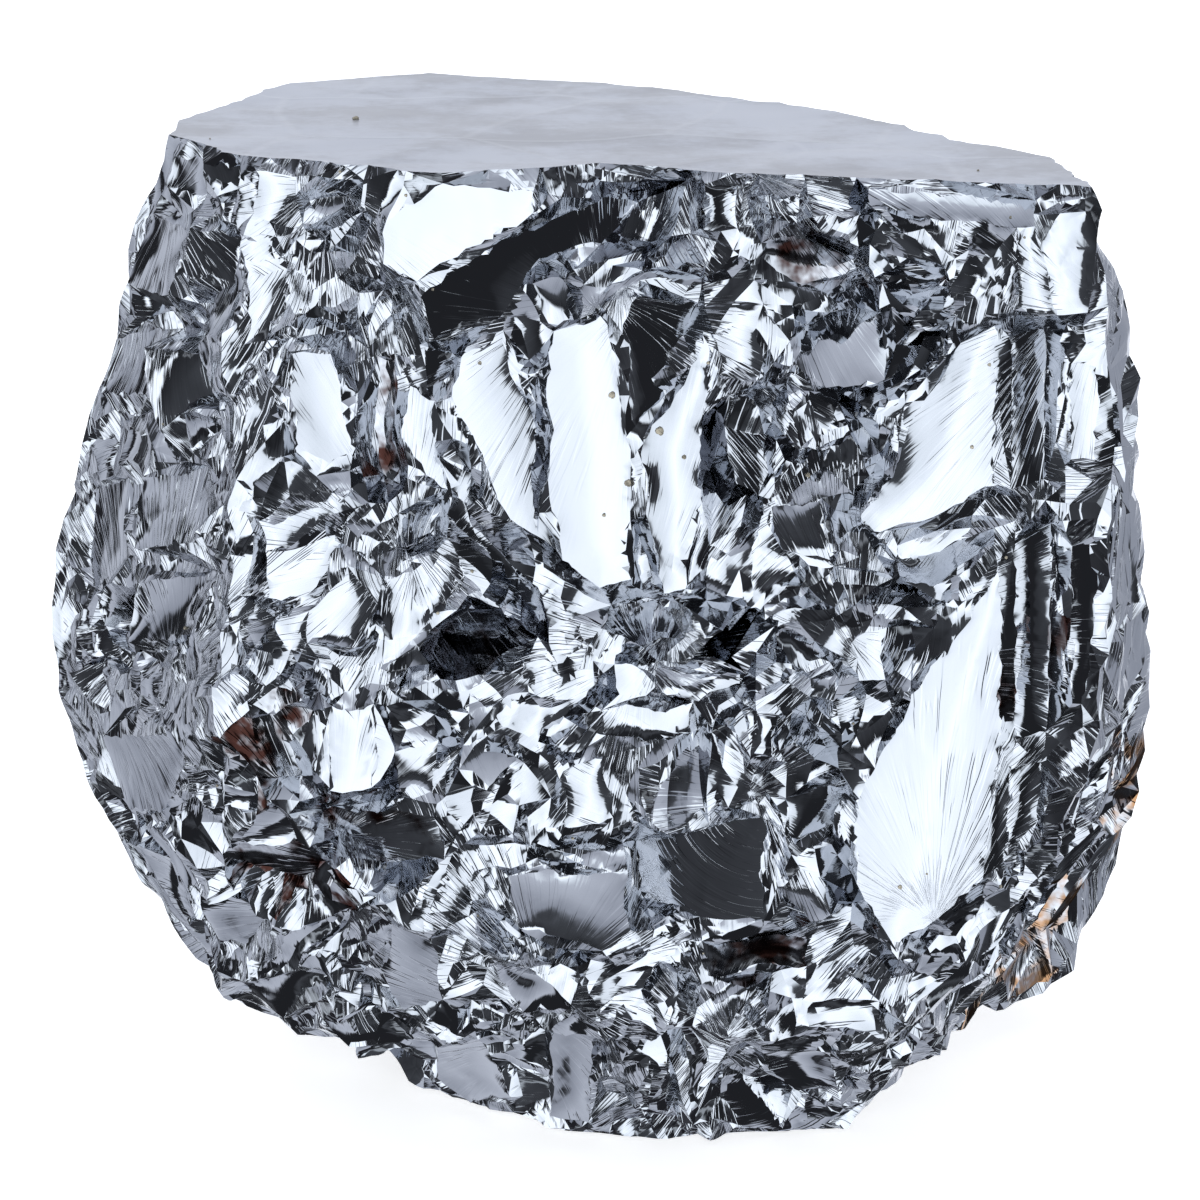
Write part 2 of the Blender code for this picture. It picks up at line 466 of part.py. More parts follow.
class Side:
    """One side of the lump, worked out in its own flat frame."""

    def __init__(self, name, border, middle):
        self.name = name
        self.border = border
        centre = sum(border, Vector()) / len(border)
        normal = Vector()
        for a, b in zip(border, border[1:] + border[:1]):
            normal += (a - centre).cross(b - centre)
        self.normal = normal.normalized()
        if self.normal.dot(centre - middle) < 0.0:
            self.normal.negate()
        self.centre = centre
        level = Vector((0.0, 0.0, 1.0)) if abs(self.normal.z) < 0.9 else Vector((0.0, 1.0, 0.0))
        self.right = level.cross(self.normal).normalized()
        self.up = self.normal.cross(self.right)
        self.outline = [self.flat(p) for p in border]
        self.heights = np.array([(p - centre).dot(self.normal) for p in border])
        self.places = np.array([(p.x, p.y) for p in self.outline])

    def flat(self, point):
        away = point - self.centre
        return Vector((away.dot(self.right), away.dot(self.up)))

    def solid(self, place, height):
        return self.centre + self.right * place.x + self.up * place.y + self.normal * height

    def ground(self, place):
        """Height of the smooth side, spread from the heights of its border."""
        gaps = np.hypot(*(self.places - np.array((place.x, place.y))).T)
        weights = 1.0 / (gaps + NEAR_GAP) ** SPREAD_POWER
        return float((weights * self.heights).sum() / weights.sum())

    def headroom(self, place):
        """How far a facet may stand out at a place: little at the border, so the outline stays crisp."""
        room = EDGE_HEADROOM + HEADROOM_SHARE * nearest_on(place, self.outline)[0]
        return min(room, FACET_RISE_LIMIT)

    def seen_at(self, across, up):
        """Where the sight line through a place on the sight plane meets the smooth side."""
        eye, ray = sight_line(across, up)
        height = 0.0
        for _ in range(SIGHT_ROUNDS):
            reach = (self.centre + self.normal * height - eye).dot(self.normal) / ray.dot(self.normal)
            place = self.flat(eye + ray * reach)
            height = self.ground(place)
        return place


class Facet:
    """A flat patch on a side: its outline there, how far it stands out and which way it faces."""

    def __init__(self, side, outline, out, normal):
        self.outline = outline
        self.middle = sum(outline, Vector((0.0, 0.0))) / len(outline)
        self.height = side.ground(self.middle) + out
        share = normal.dot(side.normal)
        self.slope = Vector((-normal.dot(side.right) / share, -normal.dot(side.up) / share))
        for _ in range(DRAW_ROUNDS):
            rises = [(self.at(p) - side.ground(p), side.headroom(p)) for p in outline]
            if all(-FACET_DEPTH_LIMIT <= rise <= room for rise, room in rises):
                break
            self.slope *= FLATTEN

    def at(self, place):
        return self.height + self.slope.dot(place - self.middle)


def drawn_inside(outline, side):
    """The outline, drawn towards its middle until it lies clear of the side's border, or None."""
    for _ in range(DRAW_ROUNDS):
        tries = [a.lerp(b, k / TRIES) for a, b in zip(outline, outline[1:] + outline[:1])
                 for k in range(TRIES)]
        if all(inside(p, side.outline) and nearest_on(p, side.outline)[0] > BORDER_MARGIN for p in tries):
            return outline
        middle = sum(outline, Vector((0.0, 0.0))) / len(outline)
        outline = [middle.lerp(place, DRAW_SHARE) for place in outline]
    return None


def read_facets(side, rows):
    """The facets outlined by hand, drawn in from the side's border and from each other."""
    facets = []
    for name, out, pitch, turn, places in rows:
        outline = drawn_inside(shrunk([side.seen_at(*place) for place in places], FACET_INSET), side)
        if outline is None:
            raise ValueError(f"the facet {name} lies outside the {side.name}")
        facets.append(Facet(side, outline, out, facing(pitch, turn)))
    return facets


def clipped(outline, near, far):
    """The part of a convex outline that lies nearer to one point than to another."""
    middle, away = (near + far) / 2.0, far - near
    result = []
    for a, b in zip(outline, outline[1:] + outline[:1]):
        side_a, side_b = (a - middle).dot(away), (b - middle).dot(away)
        if side_a <= 0.0:
            result.append(a)
        if (side_a < 0.0) != (side_b < 0.0) and side_a != side_b:
            result.append(a.lerp(b, side_a / (side_a - side_b)))
    return result


def scattered_seeds(side, taken, apart, chance):
    """Places inside a side at least so far apart, clear of the facets already there."""
    low, high = side.places.min(axis=0), side.places.max(axis=0)
    seeds = []
    for _ in range(int(SEED_THROWS * abs(signed_area(side.outline)) / apart ** 2)):
        seed = Vector((chance.uniform(low[0], high[0]), chance.uniform(low[1], high[1])))
        if not inside(seed, side.outline) or nearest_on(seed, side.outline)[0] < BORDER_MARGIN:
            continue
        if any((seed - other).length < apart for other in seeds):
            continue
        if all(not inside(seed, f.outline) and nearest_on(seed, f.outline)[0] > SEED_CLEARANCE
               for f in taken):
            seeds.append(seed)
    return seeds


def drawn_clear(outline, seed, side, taken):
    """The outline, drawn towards its seed until it is clear of the border and of other facets, or None."""
    near = [f for f in taken if (f.middle - seed).length < NEAR_REACH]
    for _ in range(DRAW_ROUNDS):
        tries = [a.lerp(b, k / TRIES) for a, b in zip(outline, outline[1:] + outline[:1])
                 for k in range(TRIES)]
        clear = all(inside(p, side.outline) and nearest_on(p, side.outline)[0] > BORDER_MARGIN
                    and not any(inside(p, f.outline) or nearest_on(p, f.outline)[0] < FACET_GAP
                                for f in near) for p in tries)
        if clear:
            return outline
        outline = [seed.lerp(place, DRAW_SHARE) for place in outline]
    return None


def splinters(cell, count, chance):
    """A convex cell parted into strips that lie side by side."""
    if count < 2:
        return [cell]
    angle = chance.uniform(0.0, math.pi)
    across = Vector((math.cos(angle), math.sin(angle)))
    spans = [place.dot(across) for place in cell]
    low, high = min(spans), max(spans)
    cuts = [low + (high - low) * (k + chance.uniform(-0.18, 0.18)) / count for k in range(1, count)]
    strips = []
    for start, end in zip([low] + cuts, cuts + [high]):
        strip = cell
        if start > low:
            strip = clipped(strip, across * (start + 1.0), across * (start - 1.0))
        if end < high:
            strip = clipped(strip, across * (end - 1.0), across * (end + 1.0))
        strips.append(strip)
    return strips


def tidy_outline(outline):
    """The outline without corners that lie too close together, or None if little is left."""
    kept = []
    for place in outline:
        if all((place - other).length > SHORTEST_SIDE for other in kept):
            kept.append(place)
    return kept if len(kept) > 2 and abs(signed_area(kept)) > SMALLEST_FACET else None


def ruled_facets(side, taken, reach, leans, chance):
    """Facets set out by rule: cells around scattered seeds, each parted into splinters."""
    seeds = scattered_seeds(side, taken, reach * SEED_SHARE, chance)
    facets = []
    for seed in seeds:
        size = reach * chance.uniform(0.8, 1.2)
        angles = [math.radians(360.0 / CELL_CORNERS * k + chance.uniform(-14, 14))
                  for k in range(CELL_CORNERS)]
        cell = [seed + Vector((math.cos(a), math.sin(a))) * size for a in angles]
        for other in seeds:
            if other is not seed and (other - seed).length < 3.0 * reach:
                cell = clipped(cell, seed, other)
        cell = drawn_clear(shrunk(cell, CELL_GAP), seed, side, taken)
        count = chance.choice((1, 1, 2, 2, 3))
        out = chance.uniform(-CELL_STEP, CELL_STEP) - (0.0 if leans else PLATE_SINK)
        parts = splinters(cell, count, chance) if cell else []
        for part in parts:
            outline = tidy_outline(shrunk(part, SPLINTER_GAP) if count > 1 else part)
            if outline is None:
                continue
            if leans:
                pitch, turn = chance.choice(leans)
                normal = facing(pitch + chance.gauss(0, 5), turn + chance.gauss(0, 4))
            else:
                lean = side.right * chance.gauss(0, LEAN_SPREAD) + side.up * chance.gauss(0, LEAN_SPREAD)
                normal = (side.normal + lean).normalized()
            step = out + chance.uniform(-SPLINTER_STEP, SPLINTER_STEP)
            facets.append(Facet(side, outline, step, normal))
    return facets


def shards(side, facets, grain, rough, chance):
    """Scattered points between the facets, whose triangles are the small shards."""
    if grain <= 0.0:
        return []
    result = []

    def add(place, gap, lift):
        """Keep a place that lies inside the side, clear of its border, facets and other places."""
        if not inside(place, side.outline) or nearest_on(place, side.outline)[0] < gap:
            return
        if any(inside(place, f.outline) or nearest_on(place, f.outline)[0] < grain * FACET_CLEARANCE
               for f in facets if (f.middle - place).length < NEAR_REACH):
            return
        if all((place - other).length > gap for other, _ in result):
            result.append((place, side.ground(place) + lift))

    sign = 1.0 if signed_area(side.outline) > 0.0 else -1.0
    outline = side.outline
    for before, here, after in zip(outline[-1:] + outline[:-1], outline, outline[1:] + outline[:1]):
        along = (after - before).normalized()
        inner = here + Vector((-along.y, along.x)) * sign * RING_DEPTH
        add(inner, RING_DEPTH * POINT_CLEARANCE, chance.uniform(-0.8, 0.2) * rough)

    low, high = side.places.min(axis=0), side.places.max(axis=0)
    rows = int((high[1] - low[1]) / (grain * ROW_SHARE)) + 1
    columns = int((high[0] - low[0]) / grain) + 1
    for row in range(rows):
        for column in range(columns):
            place = Vector((low[0] + (column + 0.5 * (row % 2) + chance.uniform(-SCATTER, SCATTER)) * grain,
                            low[1] + (row + chance.uniform(-SCATTER, SCATTER)) * grain * ROW_SHARE))
            add(place, grain * POINT_CLEARANCE, chance.uniform(-1.5, 0.5) * rough)
    return result


def edge_places(start, end, corners, step):
    """Places along the chipped edge between two corners, the same from either side."""
    first, last = sorted((start, end))
    a, b = corners[first], corners[last]
    level = abs(a.z - b.z) < 1e-3
    chance = random.Random(f"{first} {last}")
    parts = max(1, round((b - a).length / step))
    places = []
    for i in range(1, parts):
        share = (i + chance.uniform(-0.25, 0.25)) / parts
        chip = Vector((chance.uniform(-1, 1), chance.uniform(-1, 1), chance.uniform(-1, 1))) * EDGE_CHIP
        if level:
            chip.z = 0.0
        place = a.lerp(b, share) + chip
        if not level:
            place.z = max(place.z, GROUND_GAP)
        places.append(place)
    return places if first == start else places[::-1]


def silicon_material():
    material = bpy.data.materials.new("silicon")
    material.use_nodes = True
    shader = material.node_tree.nodes["Principled BSDF"]
    shader.inputs["Base Color"].default_value = SILICON_COLOUR
    shader.inputs["Metallic"].default_value = 1.0
    shader.inputs["Roughness"].default_value = SILICON_ROUGHNESS
    return material


def build_lump():
    """The whole lump as one closed mesh in metres, standing on its resting face."""
    corners = all_corners()
    middle = sum(corners.values(), Vector()) / len(corners)
    points = []
    index = {}

    def number(key, point):
        if key not in index:
            index[key] = len(points)
            points.append(point)
        return index[key]

    triangles = []
    for name, loop, rows, reach, leans, grain, rough in SIDES:
        border, keys = [], []
        for start, end in zip(loop, loop[1:] + loop[:1]):
            keys.append(start)
            border.append(corners[start])
            between = edge_places(start, end, corners, EDGE_STEP)
            first = sorted((start, end))
            for i, place in enumerate(between):
                order = i if first[0] == start else len(between) - 1 - i
                keys.append((first[0], first[1], order))
                border.append(place)
        side = Side(name, border, middle)
        chance = random.Random(name)
        facets = read_facets(side, rows)
        if reach > 0.0:
            facets += ruled_facets(side, facets, reach, leans, chance)
        scattered = shards(side, facets, grain, rough, chance)

        rings = [list(range(len(side.outline)))]
        if signed_area(side.outline) < 0.0:
            rings[0].reverse()
        held = list(side.outline)
        for facet in facets:
            ring = list(range(len(held), len(held) + len(facet.outline)))
            held += facet.outline
            rings.append(ring if signed_area(facet.outline) > 0.0 else ring[::-1])
        flat = held + [place for place, _ in scattered]
        places, _, faces, sources, _, owners = delaunay_2d_cdt(flat, [], rings, 0, 1e-5, True)

        total = len(side.outline)
        lifted = {total + sum(len(f.outline) for f in facets) + i: h for i, (_, h) in enumerate(scattered)}
        numbers = []
        for i, place in enumerate(places):
            given = sources[i]
            on_border = [s for s in given if s < total]
            if on_border:
                numbers.append(number(keys[on_border[0]], border[on_border[0]]))
                continue
            holder = next((f for f in facets if inside(place, f.outline)
                           or nearest_on(place, f.outline)[0] < 1e-3), None)
            if holder is not None:
                height = holder.at(place)
            elif given and given[0] in lifted:
                height = lifted[given[0]]
            else:
                raise ValueError(f"a facet of the {name} crosses its border near {place}")
            point = side.solid(place, height)
            point.z = max(point.z, GROUND_GAP)
            numbers.append(number((name, i), point))
        triangles += [[numbers[i] for i in face] for face, owner in zip(faces, owners) if 0 in owner]

    shape = bmesh.new()
    verts = [shape.verts.new(p * MM) for p in points]
    for triangle in triangles:
        shape.faces.new([verts[i] for i in triangle])
    bmesh.ops.recalc_face_normals(shape, faces=shape.faces)
    low = [min(v.co[k] for v in shape.verts) for k in range(3)]
    high = [max(v.co[k] for v in shape.verts) for k in range(3)]
    shift = Vector((-(low[0] + high[0]) / 2.0, -(low[1] + high[1]) / 2.0, -low[2]))
    bmesh.ops.translate(shape, vec=shift, verts=shape.verts)
    mesh = bpy.data.meshes.new("silicon_crystal")
    shape.to_mesh(mesh)
    shape.free()
    return mesh


def main():
    for thing in list(bpy.data.objects):
        bpy.data.objects.remove(thing)
    mesh = build_lump()
    mesh.materials.append(silicon_material())
    crystal = bpy.data.objects.new("silicon_crystal", mesh)
    bpy.context.scene.collection.objects.link(crystal)
    box = [max(v.co[k] for v in mesh.vertices) - min(v.co[k] for v in mesh.vertices) for k in range(3)]
    print("lump", [round(d / MM, 1) for d in box], "mm,", len(mesh.polygons), "triangles")


main()
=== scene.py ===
"""Looks of a lump of raw silicon: mirror-bright broken facets under a satin top face, on a pale floor.

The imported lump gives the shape. Its facets are bowed and given ragged edges, the broken places
between them are chipped, and every facet and chip carries streaks that fan out from where it split.
Lengths in this file are in millimetres unless a name says otherwise; the frame is in metres.
"""

import math
import random

import bmesh
import bpy
import numpy as np
from bpy.props import FloatProperty, FloatVectorProperty, IntProperty, PointerProperty
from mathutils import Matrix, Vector
from mathutils.bvhtree import BVHTree
from mathutils.kdtree import KDTree


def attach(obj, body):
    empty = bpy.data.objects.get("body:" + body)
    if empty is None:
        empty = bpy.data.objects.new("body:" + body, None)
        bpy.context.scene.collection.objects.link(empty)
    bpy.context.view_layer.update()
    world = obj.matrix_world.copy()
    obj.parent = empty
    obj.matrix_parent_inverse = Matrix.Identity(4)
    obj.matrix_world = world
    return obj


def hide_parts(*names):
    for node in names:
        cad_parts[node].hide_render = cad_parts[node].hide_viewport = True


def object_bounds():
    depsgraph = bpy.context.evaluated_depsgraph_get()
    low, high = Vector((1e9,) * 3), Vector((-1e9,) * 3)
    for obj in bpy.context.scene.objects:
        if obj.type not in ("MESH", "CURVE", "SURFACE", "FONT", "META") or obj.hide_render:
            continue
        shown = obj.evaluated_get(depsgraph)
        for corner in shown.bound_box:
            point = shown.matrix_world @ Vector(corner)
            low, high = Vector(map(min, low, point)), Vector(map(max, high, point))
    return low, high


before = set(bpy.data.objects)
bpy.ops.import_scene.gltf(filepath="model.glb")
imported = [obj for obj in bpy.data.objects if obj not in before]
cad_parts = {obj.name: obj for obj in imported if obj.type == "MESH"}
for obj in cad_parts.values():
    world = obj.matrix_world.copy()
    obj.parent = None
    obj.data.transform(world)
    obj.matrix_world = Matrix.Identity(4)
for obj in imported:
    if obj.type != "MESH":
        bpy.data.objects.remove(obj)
CAD_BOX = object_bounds()

bl_info = {
    "name": "Raw Silicon Crystal",
    "version": (1, 0, 0),
    "blender": (4, 5, 0),
    "location": "View3D > Sidebar > Silicon",
    "description": "Builds a broken lump of raw silicon with mirror-bright facets, and its studio",
    "category": "Add Mesh",
}

NODE = "silicon_crystal"
MM = 0.001

# The sight plane on which places are read: square to the line of sight, this far from the eye
AIM = Vector((-0.5, 0.1, 26.07))
SIGHT_RISE = math.radians(14.0)
EYE_DISTANCE = 270.0
PLANE_DISTANCE = 252.0
PLANE_MIDDLE_UP = 26.75
AHEAD = Vector((0.0, math.cos(SIGHT_RISE), -math.sin(SIGHT_RISE)))
UPWARD = Vector((0.0, math.sin(SIGHT_RISE), math.cos(SIGHT_RISE)))

# Places from which the splits ran, so that streaks point away from them: across and up
SPLIT_PLACES = {
    "flank top": (-22.0, 47.0), "upper left": (-13.5, 47.5), "arc foot": (0.5, 41.5),
    "upper right": (8.5, 47.5), "left rubble": (-9.5, 28.5), "right rubble": (12.6, 24.6),
    "left heel": (-21.0, 25.0), "middle": (2.5, 24.0), "fan root": (7.8, 17.0), "low left": (-13.0, 14.5),
    "low right": (16.5, 12.5), "chin": (-3.0, 8.0), "toe": (6.0, 5.0), "right edge": (24.5, 41.0),
}

# Runs of the broken surface that share a tone, each from one place to another with a half width:
# across and up of its start, across and up of its end, half width
DARK_RUNS = {
    "centre wedge": (2.5, 41.0, 2.4, 38.4, 1.3), "left strip": (-11.3, 39.0, -11.0, 33.4, 0.6),
    "left brow": (-15.2, 40.8, -12.0, 39.8, 1.2), "low band": (3.4, 9.0, 10.6, 8.2, 1.5),
    "upper right lens": (8.4, 44.2, 12.8, 43.2, 0.8), "thin lens": (14.0, 42.8, 17.6, 42.6, 0.5),
    "top middle": (0.2, 45.8, 5.0, 45.8, 1.7), "left corner": (-20.8, 48.6, -20.2, 46.4, 0.8),
    "left cleft": (-18.6, 47.6, -18.2, 42.0, 0.5), "right rubble foot": (9.4, 32.0, 11.4, 30.2, 0.9),
    "right rubble": (7.2, 34.0, 8.6, 30.6, 0.8), "rubble root": (12.6, 31.0, 13.8, 28.4, 0.7),
    "far left rubble": (-12.6, 24.4, -9.4, 25.0, 0.7), "flank edge": (-26.0, 31.6, -24.4, 35.4, 0.9),
    "flank upper": (-22.8, 45.4, -24.0, 40.4, 0.6), "lens foot": (-16.2, 7.8, -13.2, 9.4, 1.2),
    "toe wedge": (3.6, 5.4, 4.8, 1.4, 1.2), "toe left": (2.0, 3.8, 3.0, 2.6, 0.7),
    "toe floor": (6.8, 1.6, 10.4, 1.0, 0.6), "right heel": (18.0, 7.2, 20.6, 8.0, 0.8),
    "heel column": (23.6, 17.0, 22.4, 14.0, 0.8), "chin": (-5.6, 11.0, -2.4, 8.8, 0.8),
    "low rim": (9.0, 7.8, 16.6, 7.8, 0.7), "chin left": (-8.4, 8.6, -4.0, 7.2, 0.7),
    "between slabs": (-15.8, 28.6, -12.4, 30.4, 0.5), "conch shade": (-9.0, 4.6, -5.2, 5.6, 0.8),
    "arc foot": (-1.2, 42.4, -3.4, 40.6, 0.6), "right cleft": (18.8, 45.4, 18.2, 42.4, 0.6),
    "left shelf": (-19.4, 19.8, -15.6, 19.2, 0.9), "crescent end": (6.4, 40.4, 8.2, 39.4, 1.0),
    "right rubble top": (9.6, 34.6, 11.0, 33.6, 0.7),
}
DEEP_RUNS = {
    "right strip top": (21.2, 40.6, 21.3, 33.0, 1.7), "right strip middle": (21.5, 32.0, 21.5, 22.6, 1.7),
    "right strip foot": (21.3, 22.0, 20.9, 15.4, 1.3), "fan lower": (1.6, 11.0, 8.0, 11.6, 1.3),
    "left middle": (-8.2, 22.6, -3.8, 18.8, 1.3), "fan start": (0.6, 14.2, 2.6, 12.6, 1.3),
    "middle shadow": (-2.4, 25.6, -0.8, 22.2, 1.2), "toe shade": (3.6, 4.8, 5.2, 1.6, 1.4),
    "low left shade": (-8.2, 11.0, -6.4, 10.0, 1.2), "shell": (-19.4, 14.6, -14.8, 13.4, 1.6),
    "shell top": (-16.8, 17.2, -15.4, 15.8, 1.2), "fan window": (6.8, 17.2, 11.6, 16.0, 1.2),
    "fan right": (8.6, 15.4, 12.8, 13.8, 1.4), "fan right foot": (8.4, 12.6, 11.6, 11.4, 1.2),
    "strip side": (23.8, 28.0, 24.2, 21.0, 1.1), "lens shell": (-19.4, 14.4, -12.8, 13.2, 1.2),
    "lens end": (-14.0, 8.0, -12.4, 7.2, 1.1), "low rubble": (-11.2, 20.2, -9.4, 18.8, 0.9),
    "heel column": (21.2, 11.4, 22.8, 10.2, 1.0), "conch hollow": (-8.2, 5.4, -6.6, 4.4, 0.9),
    "conch right": (-2.4, 5.2, -0.6, 4.4, 0.9), "toe point": (3.6, 2.2, 5.2, 1.4, 1.0),
    "brow end": (-17.0, 40.6, -13.0, 39.4, 1.0), "top cleft": (3.4, 46.4, 5.4, 45.2, 1.0),
    "crown arc": (-8.0, 41.2, -3.6, 43.6, 1.2), "left hollow": (-17.8, 21.8, -14.6, 16.4, 1.2),
    "hollow foot": (-14.4, 16.2, -9.4, 12.9, 1.1), "crown arc right": (-4.6, 44.0, 1.6, 46.2, 1.3),
    "sliver": (-6.9, 33.4, -2.9, 25.2, 1.0), "middle hollow": (-7.6, 22.8, -3.4, 19.2, 1.0),
    "fan middle": (2.0, 12.2, 8.4, 12.8, 1.6), "strip heel": (21.8, 21.0, 21.6, 17.4, 1.5),
}
WHITE_RUNS = {
    "crown panel": (-10.4, 43.6, -4.6, 46.8, 1.5), "upper left": (-17.2, 47.6, -16.8, 41.4, 0.9),
    "left panel": (-14.4, 38.0, -13.0, 34.6, 1.4), "fan blades": (-6.4, 37.4, -4.6, 32.0, 1.5),
    "centre left": (-1.4, 39.6, -1.2, 29.6, 1.9), "centre right": (4.0, 37.2, 4.0, 29.0, 1.3),
    "upper slab": (-17.0, 29.8, -13.2, 30.8, 0.9), "lower slab": (-16.0, 27.4, -13.4, 28.2, 0.8),
    "left tall": (-13.0, 21.0, -11.6, 17.6, 1.2), "middle right": (6.2, 28.6, 8.6, 27.2, 0.9),
    "right shard": (9.4, 36.2, 10.2, 34.8, 0.8), "right panel": (14.6, 19.0, 19.0, 25.0, 2.2),
    "right panel foot": (14.2, 12.6, 18.4, 14.8, 2.4), "upper right panel": (15.4, 32.4, 19.0, 38.6, 2.0),
    "low slabs": (10.4, 6.2, 13.8, 6.0, 0.8), "right corner": (21.0, 45.4, 23.8, 42.0, 1.2),
    "right column": (24.0, 39.4, 24.0, 33.0, 0.9), "left chips": (-10.6, 18.6, -9.2, 17.6, 0.9),
    "strip side": (-9.6, 36.4, -8.0, 31.6, 1.1), "centre": (1.6, 37.6, 1.8, 29.4, 1.4),
    "rubble side": (7.2, 32.0, 7.4, 28.0, 1.3), "rubble foot": (9.6, 28.4, 11.2, 27.8, 0.9),
    "right panel top": (13.6, 24.8, 19.4, 26.8, 2.0), "pocket edge": (3.6, 22.8, 5.2, 22.0, 0.9),
    "pocket foot": (3.4, 20.8, 5.4, 18.2, 1.5), "right panel left": (9.8, 20.0, 13.8, 19.2, 1.9),
    "middle chips": (4.2, 25.6, 7.6, 25.2, 1.4), "rubble chips": (7.3, 31.4, 10.3, 30.8, 1.3),
    "blade top": (-5.4, 40.2, -3.6, 39.6, 1.0), "right rubble": (9.6, 40.6, 10.8, 36.4, 1.5),
    "left slab": (-17.0, 34.8, -15.4, 33.4, 1.1), "blade foot": (-8.2, 34.8, -6.4, 33.2, 1.0),
    "below fan": (-5.4, 28.6, -3.4, 27.8, 1.0), "slab foot": (-17.2, 25.8, -15.0, 24.8, 1.0),
    "window": (-2.4, 17.0, -0.4, 16.2, 1.1), "toe slab": (6.4, 2.2, 8.2, 1.4, 0.9),
    "upper chips": (-14.2, 46.2, -12.4, 45.4, 1.1), "lens silver": (-18.6, 11.8, -15.0, 10.4, 0.8),
    "panel root": (10.6, 22.4, 13.4, 21.4, 1.1),
}
# Broad runs of clear contrast, where every facet is either white or dark
CLEAR_RUNS = {
    "middle": (-6.0, 28.0, 8.0, 28.0, 12.5), "upper": (-10.0, 41.0, 14.0, 41.0, 5.5),
    "lower": (0.0, 13.0, 13.0, 13.0, 5.0),
}
# Runs without any facet that shines white
DULL_RUNS = {
    "flank top": (-22.4, 46.0, -23.4, 38.0, 2.4), "flank middle": (-24.4, 38.0, -25.6, 24.0, 3.2),
    "left heel": (-24.6, 23.0, -20.4, 10.0, 3.0), "right edge": (25.9, 43.0, 26.6, 14.0, 1.9),
    "right heel": (18.4, 10.2, 23.4, 12.2, 1.6), "lens": (-20.4, 13.0, -12.6, 10.6, 2.2),
    "conch": (-12.4, 9.4, -1.0, 3.4, 2.2), "top middle": (-2.2, 46.2, 5.2, 46.2, 1.6),
    "toe": (4.0, 3.4, 9.6, 2.4, 1.6), "chin": (-4.8, 11.4, -0.4, 10.2, 1.3),
}
PALE_RUNS = {
    "crescent ledge": (0.0, 41.8, 4.6, 42.8, 0.6), "right shell": (10.4, 39.6, 14.6, 39.4, 1.4),
    "streaked band": (13.4, 46.8, 21.8, 46.2, 0.7), "ribbon": (3.0, 23.0, 7.4, 22.8, 0.5),
    "lower ribbon": (8.2, 22.0, 13.2, 22.4, 0.4), "left heel": (-24.2, 19.6, -21.6, 14.2, 1.6),
    "heel foot": (-21.6, 13.6, -19.8, 9.6, 1.0), "lens ledge": (-18.4, 8.6, -13.4, 11.2, 0.6),
    "conch band": (-10.6, 10.0, -2.4, 6.4, 0.8), "conch left": (-7.6, 4.0, -5.0, 2.0, 1.0),
    "flank top": (-23.0, 44.0, -24.4, 38.0, 1.0), "flank middle": (-25.8, 27.4, -23.4, 24.0, 1.2),
    "flank inner": (-20.4, 36.6, -20.6, 26.4, 0.9), "grey column": (24.2, 30.6, 23.8, 21.0, 0.6),
    "toe": (8.6, 3.4, 11.4, 3.2, 0.7), "under right panel": (13.4, 27.6, 19.4, 29.6, 0.7),
    "left shell": (-8.0, 24.2, -5.0, 25.4, 0.6), "conch tip": (-2.4, 2.6, -0.6, 1.6, 0.9),
    "panel corner": (14.4, 25.6, 17.6, 25.0, 1.5), "middle ledge": (6.0, 25.6, 8.2, 24.8, 1.2),
    "chin slab": (-3.0, 12.4, -0.6, 11.6, 1.0), "lens rim": (-20.8, 13.2, -18.0, 9.0, 0.8),
    "lens foot edge": (-16.8, 10.2, -12.4, 9.0, 0.9), "conch swirl": (-10.8, 8.4, -4.6, 2.8, 1.2),
    "right edge": (26.0, 40.0, 26.4, 26.0, 1.0),
}

# Directions in which facets of each tone mirror the studio: degrees around and degrees of rise
DARK_MIRRORED = ((46, 0), (-48, 0), (0, 40), (-60, 40), (60, 40), (0, -46), (-60, -46), (60, -46), (94, 0),
                 (-120, 0), (-91, 0))
DEEP_MIRRORED = ((0, -53), (40, -53), (-40, -53), (46, 0), (-48, 0), (0, 39), (-60, 39), (60, 39))
WHITE_MIRRORED = ((0, 0), (-16, 12), (14, 12), (0, -20), (-78, 0), (74, 0), (0, 73), (-60, 73), (60, 73))
PALE_MIRRORED = ((-105, 0), (-135, 0), (125, 0), (0, 57), (-60, 57), (60, 57), (0, -71), (-60, -71),
                 (60, -71), (-120, -71))
STEEPEST_TILT = math.radians(38.0)
# The runs in the order in which they lean their facets; the later ones count where they overlap
LEANS = ((CLEAR_RUNS, WHITE_MIRRORED + DARK_MIRRORED), (DULL_RUNS, PALE_MIRRORED + DARK_MIRRORED),
         (WHITE_RUNS, WHITE_MIRRORED), (PALE_RUNS, PALE_MIRRORED), (DARK_RUNS, DARK_MIRRORED),
         (DEEP_RUNS, DEEP_MIRRORED))

# Brown oxide and rust on the broken front, laid out as the runs are
STAINS = {
    "lens shell": (-18.4, 14.2, -13.6, 12.8, 1.0), "upper right lens": (8.6, 44.2, 12.8, 43.2, 0.5),
    "thin lens": (14.0, 42.8, 17.4, 42.6, 0.5), "middle": (-5.8, 26.0, -4.2, 25.2, 0.6),
    "left hollow": (-17.2, 20.6, -15.4, 17.6, 0.8), "low band": (5.2, 9.2, 10.2, 8.8, 0.6),
    "left strip": (-11.3, 38.0, -10.8, 33.0, 0.5), "low left": (-12.4, 15.0, -8.6, 14.2, 0.6),
    "strip foot": (21.8, 24.4, 21.6, 22.8, 0.6),
}
RUST = {"right heel": (20.6, 8.4, 23.4, 10.6, 1.3), "right edge": (26.0, 19.6, 26.2, 16.0, 0.7)}

